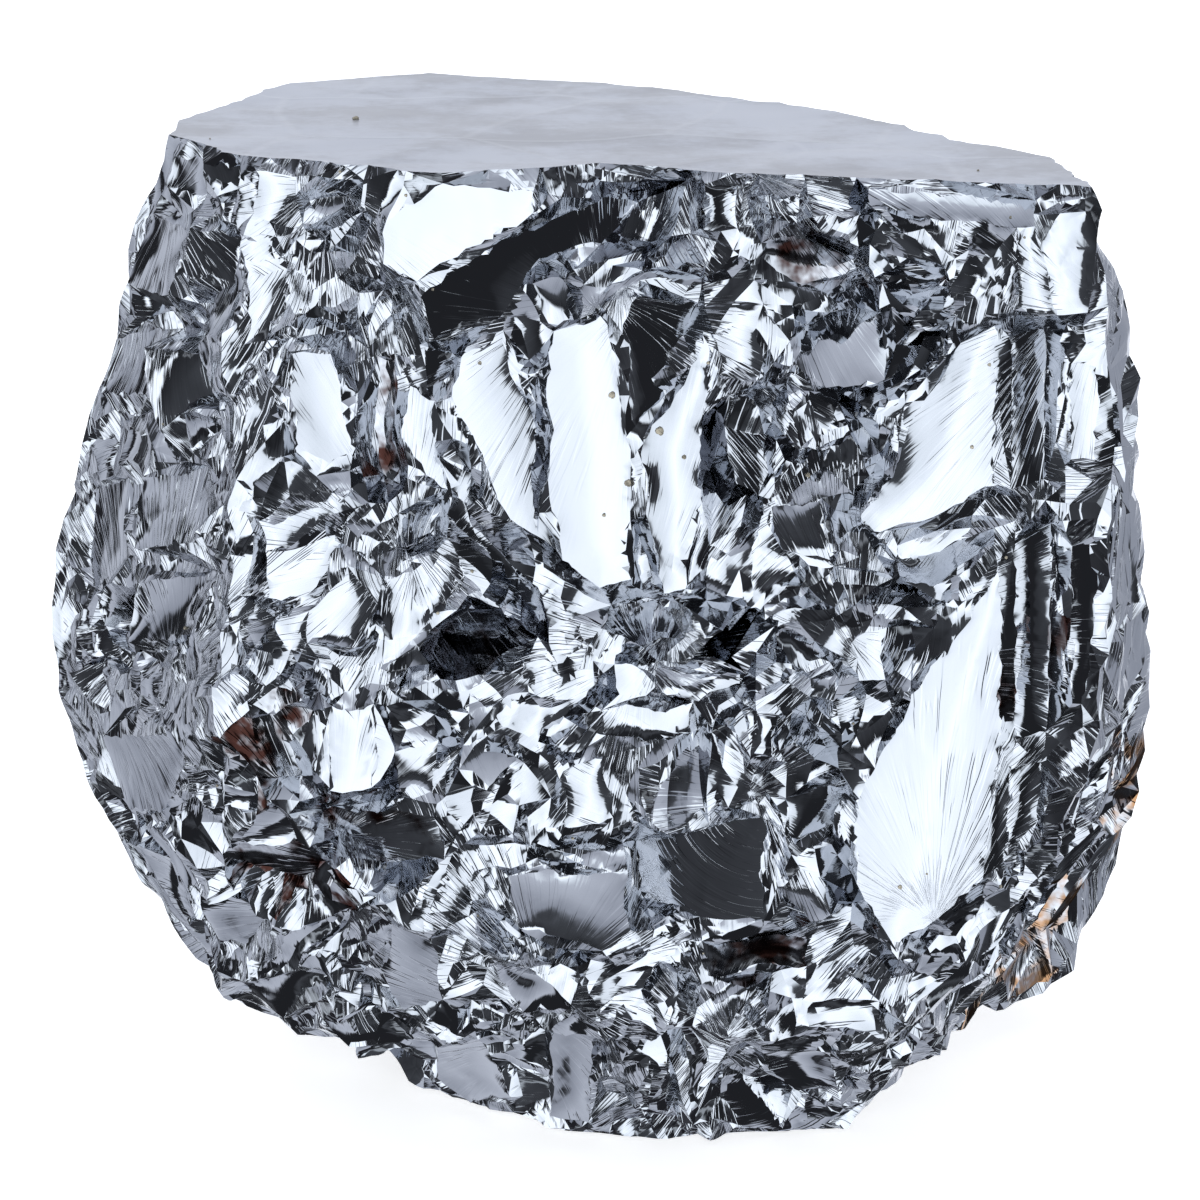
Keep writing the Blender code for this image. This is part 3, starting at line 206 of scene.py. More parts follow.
# Grains of dust that can be seen: across, up, size
DUST = ((3.0, 35.2, 0.42), (1.4, 32.6, 0.36), (0.6, 37.0, 0.34), (-12.2, 50.8, 0.36), (4.2, 33.9, 0.22),
        (0.2, 31.0, 0.2), (10.4, 33.0, 0.24), (-6.0, 38.6, 0.2), (18.6, 34.4, 0.2), (15.0, 12.4, 0.22))

# Light of the studio around the lump, by the direction it comes from
WHITE, BRIGHT, PALE, SHADE = (2.4, 2.5, 2.6), (1.6, 1.7, 1.78), (0.98, 1.02, 1.12), (0.56, 0.59, 0.67)
DIM, GREY, DARK = (0.30, 0.31, 0.34), (0.11, 0.116, 0.128), (0.03, 0.031, 0.035)
AROUND_BANDS = (
    (-180, PALE), (-158, PALE), (-154, GREY), (-146, DARK), (-142, SHADE), (-127, PALE), (-124, DARK),
    (-116, DARK), (-113, SHADE), (-97, PALE), (-94, DARK), (-88, DARK), (-85, BRIGHT), (-70, WHITE),
    (-67, DARK), (-31, GREY), (-28, BRIGHT), (-8, WHITE), (25, BRIGHT), (28, GREY), (42, DARK),
    (63, DARK), (66, BRIGHT), (82, WHITE), (86, DARK), (102, GREY), (106, SHADE), (150, SHADE),
    (158, PALE), (180, PALE),
)
RISE_BANDS = (
    (-90, GREY), (-83, DARK), (-80, SHADE), (-62, PALE), (-59, DARK), (-47, DARK), (-42, GREY), (-36, DARK),
    (-32, BRIGHT), (30, WHITE), (34, DARK), (46, GREY), (49, SHADE), (66, PALE), (69, BRIGHT), (78, WHITE),
    (82, DIM), (90, DIM),
)
RING_REACH = (math.radians(30.0), math.radians(36.0))
LIGHT_STRENGTH = 4.0
FLOOR_GLOW = 0.7

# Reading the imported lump: corners closer than the gap are one, neighbours that face this much alike lie
# on one facet, and facets smaller than the least count as broken
JOIN_GAP = 0.002
FLAT_MATCH = 0.99996
TOP_FACING, TOP_DEPTH = 0.97, 0.9
LEAST_FACET = 1.5
SMOOTH_ROUNDS, NEIGHBOUR_PULL = 6, 0.5
FRONT_FROM, FRONT_SPAN = 0.15, 0.5
LEAST_AREA, LEAST_LENGTH, LEAST_LABEL = 1e-12, 1e-9, 1e-6
MOST_HALVINGS = 9

# Chips: seed, slope, hollow, spread in height, proportions, waver and slant of their lattice
LARGE_CHIPS = {"seed": 11, "tilt": 0.42, "bowl": 0.34, "lift": 0.5, "stretch": (0.8, 0.9, 1.45), "warp": 1.0,
               "slant": math.radians(-38.0)}
SMALL_CHIPS = {"seed": 23, "tilt": 0.40, "bowl": 0.45, "lift": 0.5, "stretch": (0.7, 0.9, 1.8), "warp": 0.8,
               "slant": math.radians(-52.0)}
WAVER_LENGTH = 5.3
WAVER_ACROSS, WAVER_UP = (2.1, 1.3), (1.9, 1.1, 1.7)
CELL_MARGIN, CELL_SPREAD = 0.12, 0.76
LEAN_GAIN = 1.6
LEAST_BROKEN = 0.1
RIDGE_FROM, RIDGE_TO = 0.10, 0.90
LARGE_CHIP_MESH, SMALL_CHIP_MESH = (2.4, 3.5), (1.2, 2.2)

# Shape: calmer small chips on the runs, calmer chips at the left and right ends, edges that swing less
# near the ends, the top, the foot and the wide facets, bows, and frayed edges
FINE_ON_RUNS = 0.3
HIGHEST_LIFT = 0.4
END_CALM, END_FROM, END_SPAN = 0.7, 21.5, 2.5
SWING_RIGHT, SWING_RIGHT_SPAN = 20.0, 3.0
SWING_LEFT, SWING_LEFT_SPAN = 26.0, 4.0
SWING_TOP, SWING_TOP_SPAN, SWING_FOOT_SPAN = 1.5, 3.0, 5.0
LOOSE_START, LOOSE_WIDTH, LOOSE_LEAST, LOOSE_ROUNDS = 1.6, 4.0, 0.1, 4
SWING_ACROSS, SWING_UP = (0.95, 1.7, 2.3), (0.85, 1.9, 2.9)
BOW_WIDTH, BOW_SHARES, BOW_START, BOW_SPREAD = 3.6, (0.6, 1.9), 0.35, 1.3
BULGE_CHANCE, BOW_LIMITS = 0.25, (-0.34, 0.24)
STRAY_WAVES = (((3.1, 1.7, 2.3), 0.4), ((-2.2, 2.9, 3.7), 1.9), ((2.7, -3.3, 1.9), 3.1))
STRAY_CELL, STRAY_WAVED, STRAY_FINE = 0.02, 0.6, 0.8
FOOT_LEVEL, LEAST_CLEARANCE = 0.01, 0.12

# Streaks: how far their run swings, where the fan of a facet starts, and how strong they are
RUN_SWING = math.radians(18.0)
BEHIND_FACING, SEEN_FACING = 0.2, 0.1
ROOT_START, ROOT_SPREAD, ROOT_LEAST, ROOT_MOST, ROOT_EXTRA = 0.8, 2.6, 0.7, 12.0, 0.6
SHELL_CHANCE, BROKEN_SHELL_CHANCE = 0.08, 0.2
STREAK_SEED_SPREAD = 50.0
REACH_START, REACH_SPREAD = 0.75, 0.5
RIB_START, RIB_FALL, RIB_LIMITS, RIB_BROKEN = 0.85, 0.08, (0.3, 0.75), 0.95
RIB_CALM, RIB_ON_WHITE, RIB_ON_TONED = 0.55, 0.5, 0.75
SHARP_ANGLE = math.radians(16.0)

# Seeds of the fixed chances
LABEL_SEED, STRAY_SEED, BOW_SEED, STREAK_SEED, STAIN_SEED, RUST_SEED, TONE_SEED = 5, 31, 41, 51, 61, 62, 71
AXIS_HASH = (0x9E3779B97F4A7C15, 0xC2B2AE3D27D4EB4F, 0x165667B19E3779F9)
SEED_HASH, CHANNEL_HASH, START_HASH = 7919, 104729, 12345
MIX_HASH, LAST_SHIFT, KEPT_BITS = ((31, 0xBF58476D1CE4E5B9), (27, 0x94D049BB133111EB)), 33, 53

# Finish: small ribs as a share of the streaks, seams and swell of the top in millimetres, and its tones
FINE_SHARE = 0.8
SEAM_BEND, SEAM_RISE, SWELL_RISE, SEAM_SHARE = (0.012, 0.012, 0.0), 0.02, 1.4, 0.22
SATIN_CLEAR, SATIN_WORN = (0.51, 0.53, 0.58, 1.0), (0.37, 0.375, 0.40, 1.0)
SATIN_SEAM = (0.62, 0.63, 0.66, 1.0)
OXIDE_ROUGHNESS = 0.10
DUST_ROUGHNESS, PAPER_ROUGHNESS = 0.75, 0.9

# Dust: flattening, bumps and rise of a grain, and where the strewn grains lie
GRAIN_SQUASH, GRAIN_BUMP, GRAIN_WAVES, GRAIN_RISE = (0.55, 0.85), 0.16, (9.0, 7.0), 0.12
STREWN_ACROSS, STREWN_UP, STREWN_SIZE, STREWN_SEED = (-22, 22), (3, 51), (0.10, 0.19), 5
DUST_SHADE = 0.35
FLOOR_DROP = 0.0002


class LumpSettings(bpy.types.PropertyGroup):
    """Sizes of the chips, bows and streaks on the lump, in millimetres."""

    large_chip: FloatProperty(name="Large chips", description="Width of the large chips in broken places",
                              default=3.1, min=1.0, max=6.0)
    small_chip: FloatProperty(name="Small chips", description="Width of the small chips in broken places",
                              default=1.2, min=0.5, max=3.0)
    large_depth: FloatProperty(name="Depth of large chips", description="How deep the large chips are cut",
                               default=0.7, min=0.0, max=1.5)
    small_depth: FloatProperty(name="Depth of small chips", description="How deep the small chips are cut",
                               default=0.32, min=0.0, max=1.5)
    bow: FloatProperty(name="Bow of facets", description="How far facets bow, as a share of their width",
                       default=0.05, min=0.0, max=0.2)
    ragged: FloatProperty(name="Ragged edges", description="How far the edges of facets stray",
                          default=0.11, min=0.0, max=0.4)
    bend: FloatProperty(name="Bend of edges", description="How far straight edges swing to and fro",
                        default=0.3, min=0.0, max=0.6)
    near_mesh: FloatProperty(name="Fine mesh", description="Longest mesh edge on the broken front",
                             default=0.56, min=0.3, max=2.0)
    far_mesh: FloatProperty(name="Coarse mesh", description="Longest mesh edge at the back",
                            default=1.15, min=0.4, max=4.0)
    streak_depth: FloatProperty(name="Depth of streaks", description="Depth of the fine steps on facets",
                                default=0.028, min=0.0, max=0.2)
    wave_depth: FloatProperty(name="Depth of waves", description="Depth of the broad waves on facets",
                              default=0.12, min=0.0, max=0.6)


class SiliconFinish(bpy.types.PropertyGroup):
    """Colours and gloss of the silicon and its stains."""

    silicon_colour: FloatVectorProperty(name="Silicon", description="Colour of clean broken silicon",
                                        subtype="COLOR", size=3, default=(0.42, 0.44, 0.48), min=0, max=1)
    oxide_colour: FloatVectorProperty(name="Oxide", description="Colour of the brown oxide in hollows",
                                      subtype="COLOR", size=3, default=(0.040, 0.017, 0.014), min=0, max=1)
    rust_colour: FloatVectorProperty(name="Rust", description="Colour of the rusty stain at the right heel",
                                     subtype="COLOR", size=3, default=(0.30, 0.17, 0.09), min=0, max=1)
    facet_roughness: FloatProperty(name="Facet roughness", description="Roughness of the bright facets",
                                   default=0.06, min=0.0, max=1.0, subtype="FACTOR")
    satin_roughness: FloatProperty(name="Top roughness", description="Roughness of the satin top face",
                                   default=0.34, min=0.0, max=1.0, subtype="FACTOR")


class DustSettings(bpy.types.PropertyGroup):
    """Loose grains that lie on the lump."""

    scattered: IntProperty(name="Scattered grains", description="Number of grains strewn at random",
                           default=26, min=0, max=200)
    colour: FloatVectorProperty(name="Dust", description="Colour of the grains", subtype="COLOR", size=3,
                                default=(0.46, 0.42, 0.33), min=0, max=1)


class StageSettings(bpy.types.PropertyGroup):
    """The floor, the light and the camera."""

    floor_colour: FloatVectorProperty(name="Floor", description="Colour of the paper floor",
                                      subtype="COLOR", size=3, default=(0.93, 0.93, 0.93), min=0, max=1)
    floor_width: FloatProperty(name="Floor width", description="Width of the paper floor", default=3.0,
                               min=0.5, max=10.0, subtype="DISTANCE", unit="LENGTH")
    seen_width: FloatProperty(name="Seen width", description="Width that the camera sees at the lump",
                              default=0.06428, min=0.02, max=1.0, subtype="DISTANCE", unit="LENGTH")


def cad_arrays():
    """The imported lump's corners in millimetres and its triangles, with doubled corners joined."""
    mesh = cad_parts[NODE].data
    mesh.calc_loop_triangles()
    places = np.empty(len(mesh.vertices) * 3)
    mesh.vertices.foreach_get("co", places)
    places = places.reshape(-1, 3) / MM
    corners = np.empty(len(mesh.loop_triangles) * 3, dtype=np.int64)
    mesh.loop_triangles.foreach_get("vertices", corners)
    _, first, joined = np.unique(np.round(places / JOIN_GAP).astype(np.int64), axis=0,
                                 return_index=True, return_inverse=True)
    triangles = joined.reshape(-1)[corners].reshape(-1, 3)
    return places[first], triangles


def face_normals(places, triangles):
    """Unit normal and area of each triangle."""
    a, b, c = (places[triangles[:, k], :3] for k in range(3))
    cross = np.cross(b - a, c - a)
    size = np.linalg.norm(cross, axis=1)
    return cross / np.maximum(size, LEAST_AREA)[:, None], size / 2.0


def edges_of(triangles):
    """Each edge once as a sorted pair, and the three edge numbers of each triangle."""
    pairs = np.stack((triangles, np.roll(triangles, -1, axis=1)), axis=2).reshape(-1, 2)
    pairs.sort(axis=1)
    span = int(triangles.max()) + 1
    keys, index = np.unique(pairs[:, 0] * span + pairs[:, 1], return_inverse=True)
    return np.stack((keys // span, keys % span), axis=1), index.reshape(-1, 3)


def cut(places, triangles, marked, share, edges, index):
    """Put a corner on each marked edge, at its share of the way, and split the triangles there.

    Returns the new corners, the new triangles and the number of the old triangle each came from."""
    marks = np.nonzero(marked)[0]
    a, b = edges[marks, 0], edges[marks, 1]
    s = share[marks, None]
    fresh = places[a] * (1.0 - s) + places[b] * s
    where = np.full(len(edges), -1)
    where[marks] = np.arange(len(marks)) + len(places)
    places = np.vstack((places, fresh))
    mid = where[index]
    count = (mid >= 0).sum(axis=1)
    parts, sources = [triangles[count == 0]], [np.nonzero(count == 0)[0]]

    def put(rows, *tris):
        for tri in tris:
            parts.append(np.stack(tri, axis=1))
            sources.append(rows)

    for j in range(3):
        k, m = (j + 1) % 3, (j + 2) % 3
        rows = np.nonzero((count == 1) & (mid[:, j] >= 0))[0]
        t, p = triangles[rows], mid[rows, j]
        put(rows, (t[:, j], p, t[:, m]), (p, t[:, k], t[:, m]))
        rows = np.nonzero((count == 2) & (mid[:, m] < 0))[0]
        t, p, q = triangles[rows], mid[rows, j], mid[rows, k]
        put(rows, (p, t[:, k], q))
        gap_one = np.linalg.norm(places[t[:, j], :3] - places[q, :3], axis=1)
        gap_two = np.linalg.norm(places[p, :3] - places[t[:, m], :3], axis=1)
        short = gap_one < gap_two
        r, u = rows[short], t[short]
        put(r, (u[:, j], p[short], q[short]), (u[:, j], q[short], u[:, m]))
        r, u = rows[~short], t[~short]
        put(r, (u[:, j], p[~short], u[:, m]), (p[~short], q[~short], u[:, m]))
    rows = np.nonzero(count == 3)[0]
    t, p, q, r = triangles[rows], mid[rows, 0], mid[rows, 1], mid[rows, 2]
    put(rows, (t[:, 0], p, r), (p, t[:, 1], q), (r, q, t[:, 2]), (p, q, r))
    return places, np.vstack(parts), np.concatenate(sources)


def refine(places, triangles, tags, longest):
    """Halve edges until none is longer than the length wanted at its middle."""
    for _ in range(MOST_HALVINGS):
        edges, index = edges_of(triangles)
        a, b = places[edges[:, 0]], places[edges[:, 1]]
        length = np.linalg.norm(a[:, :3] - b[:, :3], axis=1)
        marked = length > longest((a + b) / 2.0)
        if not marked.any():
            break
        places, triangles, source = cut(places, triangles, marked, np.full(len(edges), 0.5), edges, index)
        tags = tags[source]
    return places, triangles, tags


def lattice_chance(cells, seed, channel):
    """A fixed number between 0 and 1 for each cell of a lattice."""
    x = cells.astype(np.uint64)
    mixed = np.uint64(seed * SEED_HASH + channel * CHANNEL_HASH + START_HASH)
    for k, factor in enumerate(AXIS_HASH):
        mixed = mixed ^ (x[:, k] * np.uint64(factor))
    for shift, factor in MIX_HASH:
        mixed = (mixed ^ (mixed >> np.uint64(shift))) * np.uint64(factor)
    mixed ^= mixed >> np.uint64(LAST_SHIFT)
    return (mixed >> np.uint64(64 - KEPT_BITS)).astype(np.float64) / float(1 << KEPT_BITS)


def label_chance(count, seed, channel):
    """A fixed number between 0 and 1 for each facet or chip."""
    cells = np.stack((np.arange(count), np.zeros(count), np.zeros(count)), axis=1).astype(np.int64)
    return lattice_chance(cells, seed, channel)


class Chips:
    """Shell-shaped chips of one size: each is a shallow leaning bowl, and the deepest bowl shows."""

    def __init__(self, size, seed, tilt, bowl, lift, stretch, warp, slant):
        self.size, self.seed, self.tilt, self.bowl, self.lift = size, seed, tilt, bowl, lift
        self.turn = np.array(((math.cos(slant), 0.0, -math.sin(slant)), (0.0, 1.0, 0.0),
                              (math.sin(slant), 0.0, math.cos(slant))))
        self.stretch, self.warp = np.array(stretch), warp

    def grid(self, places):
        """Places counted in cells of the slanted, wavering lattice."""
        bent = places.copy()
        x, y, z = (places / WAVER_LENGTH + self.seed).T
        bent[:, 0] += self.warp * np.sin(z * WAVER_ACROSS[0] + WAVER_ACROSS[1] * np.sin(y))
        bent[:, 2] += self.warp * np.sin(x * WAVER_UP[0] + WAVER_UP[1] * np.sin(z * WAVER_UP[2]))
        return (bent @ self.turn) / (self.size * self.stretch)

    def centre(self, cells):
        jitter = np.stack([lattice_chance(cells, self.seed, k) for k in range(3)], axis=1)
        return cells + CELL_MARGIN + CELL_SPREAD * jitter

    def height(self, grid, cells):
        """How high the bowl of each cell stands at each place."""
        away = grid - self.centre(cells)
        lean = np.stack([lattice_chance(cells, self.seed, 3 + k) for k in range(3)], axis=1) * 2.0 - 1.0
        rise = lattice_chance(cells, self.seed, 6) * self.lift
        return self.size * ((lean * away).sum(axis=1) * self.tilt * LEAN_GAIN
                            + (away * away).sum(axis=1) * self.bowl + rise)

    def deepest(self, places):
        """The lowest bowl at each place: its height and its cell."""
        grid = self.grid(places)
        base = np.floor(grid).astype(np.int64)
        best = np.full(len(places), np.inf)
        holder = np.zeros_like(base)
        steps = (-1, 0, 1)
        for step in ((x, y, z) for x in steps for y in steps for z in steps):
            cells = base + np.array(step)
            height = self.height(grid, cells)
            lower = height < best
            best[lower] = height[lower]
            holder[lower] = cells[lower]
        return best, holder


def cut_along_ridges(places, triangles, tags, chips):
    """Put corners where an edge crosses from one chip to the next, so that ridges are sharp."""
    _, holder = chips.deepest(places[:, PLACE])
    edges, index = edges_of(triangles)
    a, b = edges[:, 0], edges[:, 1]
    crossing = (holder[a] != holder[b]).any(axis=1)
    crossing &= (places[a, BROKEN] + places[b, BROKEN]) > LEAST_BROKEN
    grid = chips.grid(places[:, PLACE])
    share = np.full(len(edges), 0.5)
    rows = np.nonzero(crossing)[0]
    ga, gb, ca, cb = grid[a[rows]], grid[b[rows]], holder[a[rows]], holder[b[rows]]
    start = chips.height(ga, ca) - chips.height(ga, cb)
    end = chips.height(gb, ca) - chips.height(gb, cb)
    share[rows] = np.where(end - start > LEAST_LENGTH, -start / np.maximum(end - start, LEAST_LENGTH), 0.5)
    crossing[rows] &= (share[rows] > RIDGE_FROM) & (share[rows] < RIDGE_TO)
    places, triangles, source = cut(places, triangles, crossing, share, edges, index)
    return places, triangles, tags[source]


def facet_groups(normals, index, edge_count):
    """Number of the flat facet that each triangle belongs to."""
    group = np.arange(len(normals))
    order = np.argsort(index.ravel(), kind="stable")
    pairs = (order // 3).reshape(edge_count, 2)
    flat = (normals[pairs[:, 0]] * normals[pairs[:, 1]]).sum(axis=1) > FLAT_MATCH
    joined = pairs[flat]
    while True:
        low = np.minimum(group[joined[:, 0]], group[joined[:, 1]])
        before = group.copy()
        np.minimum.at(group, joined[:, 0], low)
        np.minimum.at(group, joined[:, 1], low)
        if (before == group).all():
            return group


def smooth_normals(places, triangles, edges, rounds):
    """Outward directions at the corners, evened out over their neighbours."""
    normals, areas = face_normals(places, triangles)
    result = np.zeros((len(places), 3))
    for k in range(3):
        np.add.at(result, triangles[:, k], normals * areas[:, None])
    for _ in range(rounds):
        spread = result.copy()
        np.add.at(spread, edges[:, 0], result[edges[:, 1]] * NEIGHBOUR_PULL)
        np.add.at(spread, edges[:, 1], result[edges[:, 0]] * NEIGHBOUR_PULL)
        result = spread / np.linalg.norm(spread, axis=1)[:, None]
    return result


def sight_places(places):
    """Across and up on the sight plane for places on the lump."""
    eye = np.array(AIM - AHEAD * EYE_DISTANCE)
    away = places - eye
    depth = away @ np.array(AHEAD)
    across = away[:, 0] * PLANE_DISTANCE / depth
    up = (away @ np.array(UPWARD)) * PLANE_DISTANCE / depth + PLANE_MIDDLE_UP
    return across, up


def mirror_facing(around, rise):
    """The way a facet faces if the viewer sees in it what lies in the given direction of the studio."""
    a, r = math.radians(around), math.radians(rise)
    seen = Vector((math.cos(r) * math.sin(a), -math.cos(r) * math.cos(a), math.sin(r)))
    return (seen - AHEAD).normalized()


def sight_ray(across, up):
    """The eye, and the unit direction from it through a place on the sight plane."""
    eye = AIM - AHEAD * EYE_DISTANCE
    ray = AHEAD * PLANE_DISTANCE + Vector((across, 0.0, 0.0)) + UPWARD * (up - PLANE_MIDDLE_UP)
    return eye, ray.normalized()


# Columns of the working corners
PLACE, OUTWARD, BROKEN, FRONT = slice(0, 3), slice(3, 6), 6, 7
MOST_LABELS = 1 << 20


class Lump:
    """The refined surface of the lump, its facets and chips, and what the finish needs to know."""

    def __init__(self, settings):
        self.settings = settings
        self.large = Chips(settings.large_chip, **LARGE_CHIPS)
        self.small = Chips(settings.small_chip, **SMALL_CHIPS)
        self.read_facets()
        self.refine_all()
        self.find_labels()
        self.shape()

    def read_facets(self):
        """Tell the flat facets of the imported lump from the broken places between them."""
        places, triangles = cad_arrays()
        normals, areas = face_normals(places, triangles)
        edges, index = edges_of(triangles)
        group = facet_groups(normals, index, len(edges))
        size = np.bincount(group, weights=areas, minlength=len(group))[group]
        count = np.bincount(group, minlength=len(group))[group]
        high = places[triangles, 2].min(axis=1) > CAD_BOX[1][2] / MM - TOP_DEPTH
        top = (normals[:, 2] > TOP_FACING) & high
        plain = ((count >= 2) & (size > LEAST_FACET)) | top
        group = np.where(top, group[top].min(), group)
        outward = smooth_normals(places, triangles, edges, SMOOTH_ROUNDS)
        broken = np.ones(len(places))
        broken[triangles[plain].ravel()] = 0.0
        front = np.clip((FRONT_FROM - outward[:, 1]) / FRONT_SPAN, 0.0, 1.0)
        self.corners = np.hstack((places, outward, broken[:, None], front[:, None]))
        self.triangles = triangles
        self.tags = np.where(plain, group, -1)
        self.top_tag = group[top].min()

    def refine_all(self):
        """Split the triangles until the chips and bows can show."""
        wanted = self.settings

        def longest(near, far):
            return lambda middle: far + (near - far) * middle[:, FRONT]

        stages = ((self.large, LARGE_CHIP_MESH), (self.small, SMALL_CHIP_MESH))
        state = (self.corners, self.triangles, self.tags)
        for chips, lengths in stages:
            state = cut_along_ridges(*refine(*state, longest(*lengths)), chips)
        state = refine(*state, longest(wanted.near_mesh, wanted.far_mesh))
        self.corners, self.triangles, self.tags = state

    def find_labels(self):
        """Give every triangle the number of its facet or chip, with that one's middle and facing."""
        rest = self.corners[:, PLACE]
        middles = rest[self.triangles].mean(axis=1)
        _, cells = self.large.deepest(middles)
        code = (lattice_chance(cells, LABEL_SEED, 1) * MOST_LABELS).astype(np.int64) + MOST_LABELS
        code = np.where(self.tags >= 0, self.tags, code)
        _, self.label = np.unique(code, return_inverse=True)
        self.label = self.label.reshape(-1)
        count = self.label.max() + 1
        normals, areas = face_normals(rest, self.triangles)
        self.label_area = np.bincount(self.label, weights=areas, minlength=count)
        spread = np.maximum(self.label_area, LEAST_LABEL)[:, None]
        self.label_middle = np.stack([np.bincount(self.label, weights=areas * middles[:, k], minlength=count)
                                      for k in range(3)], axis=1) / spread
        facing = np.stack([np.bincount(self.label, weights=areas * normals[:, k], minlength=count)
                           for k in range(3)], axis=1)
        self.label_facing = facing / np.maximum(np.linalg.norm(facing, axis=1), LEAST_LENGTH)[:, None]
        self.label_width = np.sqrt(self.label_area)
        self.label_plain = np.zeros(count, dtype=bool)
        self.label_plain[self.label[self.tags >= 0]] = True
        self.label_top = np.zeros(count, dtype=bool)
        self.label_top[self.label[self.tags == self.top_tag]] = True

    def shape(self):
        """Chip the broken places, swing and fray the edges and bow the facets."""
        rest, outward = self.corners[:, PLACE], self.corners[:, OUTWARD]
        calm = END_CALM * np.clip((np.abs(rest[:, 0]) - END_FROM) / END_SPAN, 0.0, 1.0)
        lift = self.chip_lift(rest) * self.corners[:, BROKEN] * (1.0 - calm)
        self.moved = rest + outward * lift[:, None] + self.swing(rest)

        first = np.full(len(rest), -2)
        for k in range(3):
            first[self.triangles[:, k]] = self.label
        last = first.copy()
        for k in range(3):
            np.maximum.at(last, self.triangles[:, k], self.label)
            np.minimum.at(first, self.triangles[:, k], self.label)
        plain = self.label_plain
        rim = (first != last) & (plain[first] | plain[last])
        inner = (first == last) & plain[first] & ~self.label_top[first]
        self.bow(rest, rim, inner, last[inner])
        self.fray(rest, rim, first[rim], last[rim])
        floor = np.where(rest[:, 2] < FOOT_LEVEL, 0.0, LEAST_CLEARANCE)
        self.moved[:, 2] = np.maximum(self.moved[:, 2], floor)

    def chip_lift(self, rest):
        """How far the chips stand out or in at each corner."""
        wanted = self.settings
        large, _ = self.large.deepest(rest)
        small, _ = self.small.deepest(rest)
        toned = self.on_runs({**WHITE_RUNS, **PALE_RUNS, **DARK_RUNS, **DEEP_RUNS}, TONE_SEED)
        fine_share = np.ones(len(rest))
        for k in range(3):
            np.minimum.at(fine_share, self.triangles[:, k], np.where(toned, FINE_ON_RUNS, 1.0)[self.label])
        lift = (large - large.mean()) * wanted.large_depth
        lift += (small - small.mean()) * wanted.small_depth * fine_share
        return np.minimum(lift, HIGHEST_LIFT)

    def swing(self, rest):
        """How far each corner on the broken front moves so that straight edges swing to and fro."""
        x, z = rest[:, 0], rest[:, 2]
        headroom = CAD_BOX[1][2] / MM - SWING_TOP - z
        share = self.corners[:, FRONT].copy()
        for room, span in ((SWING_RIGHT - x, SWING_RIGHT_SPAN), (x + SWING_LEFT, SWING_LEFT_SPAN),
                           (headroom, SWING_TOP_SPAN), (z, SWING_FOOT_SPAN)):
            share *= np.clip(room / span, 0.0, 1.0)
        widest = np.zeros(len(rest))
        for k in range(3):
            np.maximum.at(widest, self.triangles[:, k], self.label_width[self.label])
        loose = np.clip(LOOSE_START - widest / LOOSE_WIDTH, LOOSE_LEAST, 1.0)
        edges, _ = edges_of(self.triangles)
        beside = np.bincount(edges.ravel(), minlength=len(rest))
        for _ in range(LOOSE_ROUNDS):
            total = loose.copy()
            np.add.at(total, edges[:, 0], loose[edges[:, 1]])
            np.add.at(total, edges[:, 1], loose[edges[:, 0]])
            loose = total / (1.0 + beside)
        reach = share * loose * self.settings.bend
        length, bend, turn = SWING_ACROSS
        across = reach * np.sin(z / length + bend * np.sin(x / turn))
        length, bend, turn = SWING_UP
        up = reach * np.sin(x / length + bend * np.sin(z / turn))
        return np.stack((across, np.zeros(len(rest)), up), axis=1)

    def bow(self, rest, rim, inner, owner):
        """Bow the facets, most in their middle."""
        tree = KDTree(int(rim.sum()))
        for i, place in enumerate(rest[rim]):
            tree.insert(place, i)
        tree.balance()
        self.from_rim = np.zeros(len(rest))
        self.from_rim[inner] = [tree.find(place)[2] for place in rest[inner]]
        width = self.label_width
        share = np.clip(BOW_WIDTH / np.maximum(width, LEAST_LENGTH), *BOW_SHARES)
        bows = -self.settings.bow * width * share
        bows *= BOW_START + BOW_SPREAD * label_chance(len(width), BOW_SEED, 1)
        bows *= np.where(label_chance(len(width), BOW_SEED, 2) < BULGE_CHANCE, -1.0, 1.0)
        bows = np.clip(bows, *BOW_LIMITS)
        near = np.clip(self.from_rim[inner] / (0.5 * width[owner]), 0.0, 1.0)
        self.moved[inner] += self.label_facing[owner] * (bows[owner] * (1.0 - (1.0 - near) ** 2))[:, None]

    def fray(self, rest, rim, first, last):
        """Let the edges of the facets stray within their own plane."""
        places = rest[rim]
        waved = np.stack([np.sin(places @ np.array(wave) + phase) for wave, phase in STRAY_WAVES], axis=1)
        cells = np.round(places / STRAY_CELL).astype(np.int64)
        fine = np.stack([lattice_chance(cells, STRAY_SEED, k) * 2.0 - 1.0 for k in range(3)], axis=1)
        stray = (STRAY_WAVED * waved + STRAY_FINE * fine) * self.settings.ragged
        facing = self.label_facing[np.where(self.label_plain[last], last, first)]
        stray -= facing * (stray * facing).sum(axis=1)[:, None]
        strayed = self.moved[rim] + stray
        top_rim = self.label_top[first] | self.label_top[last]
        strayed[:, 2] = np.where(top_rim, np.minimum(strayed[:, 2], places[:, 2]), strayed[:, 2])
        self.moved[rim] = strayed

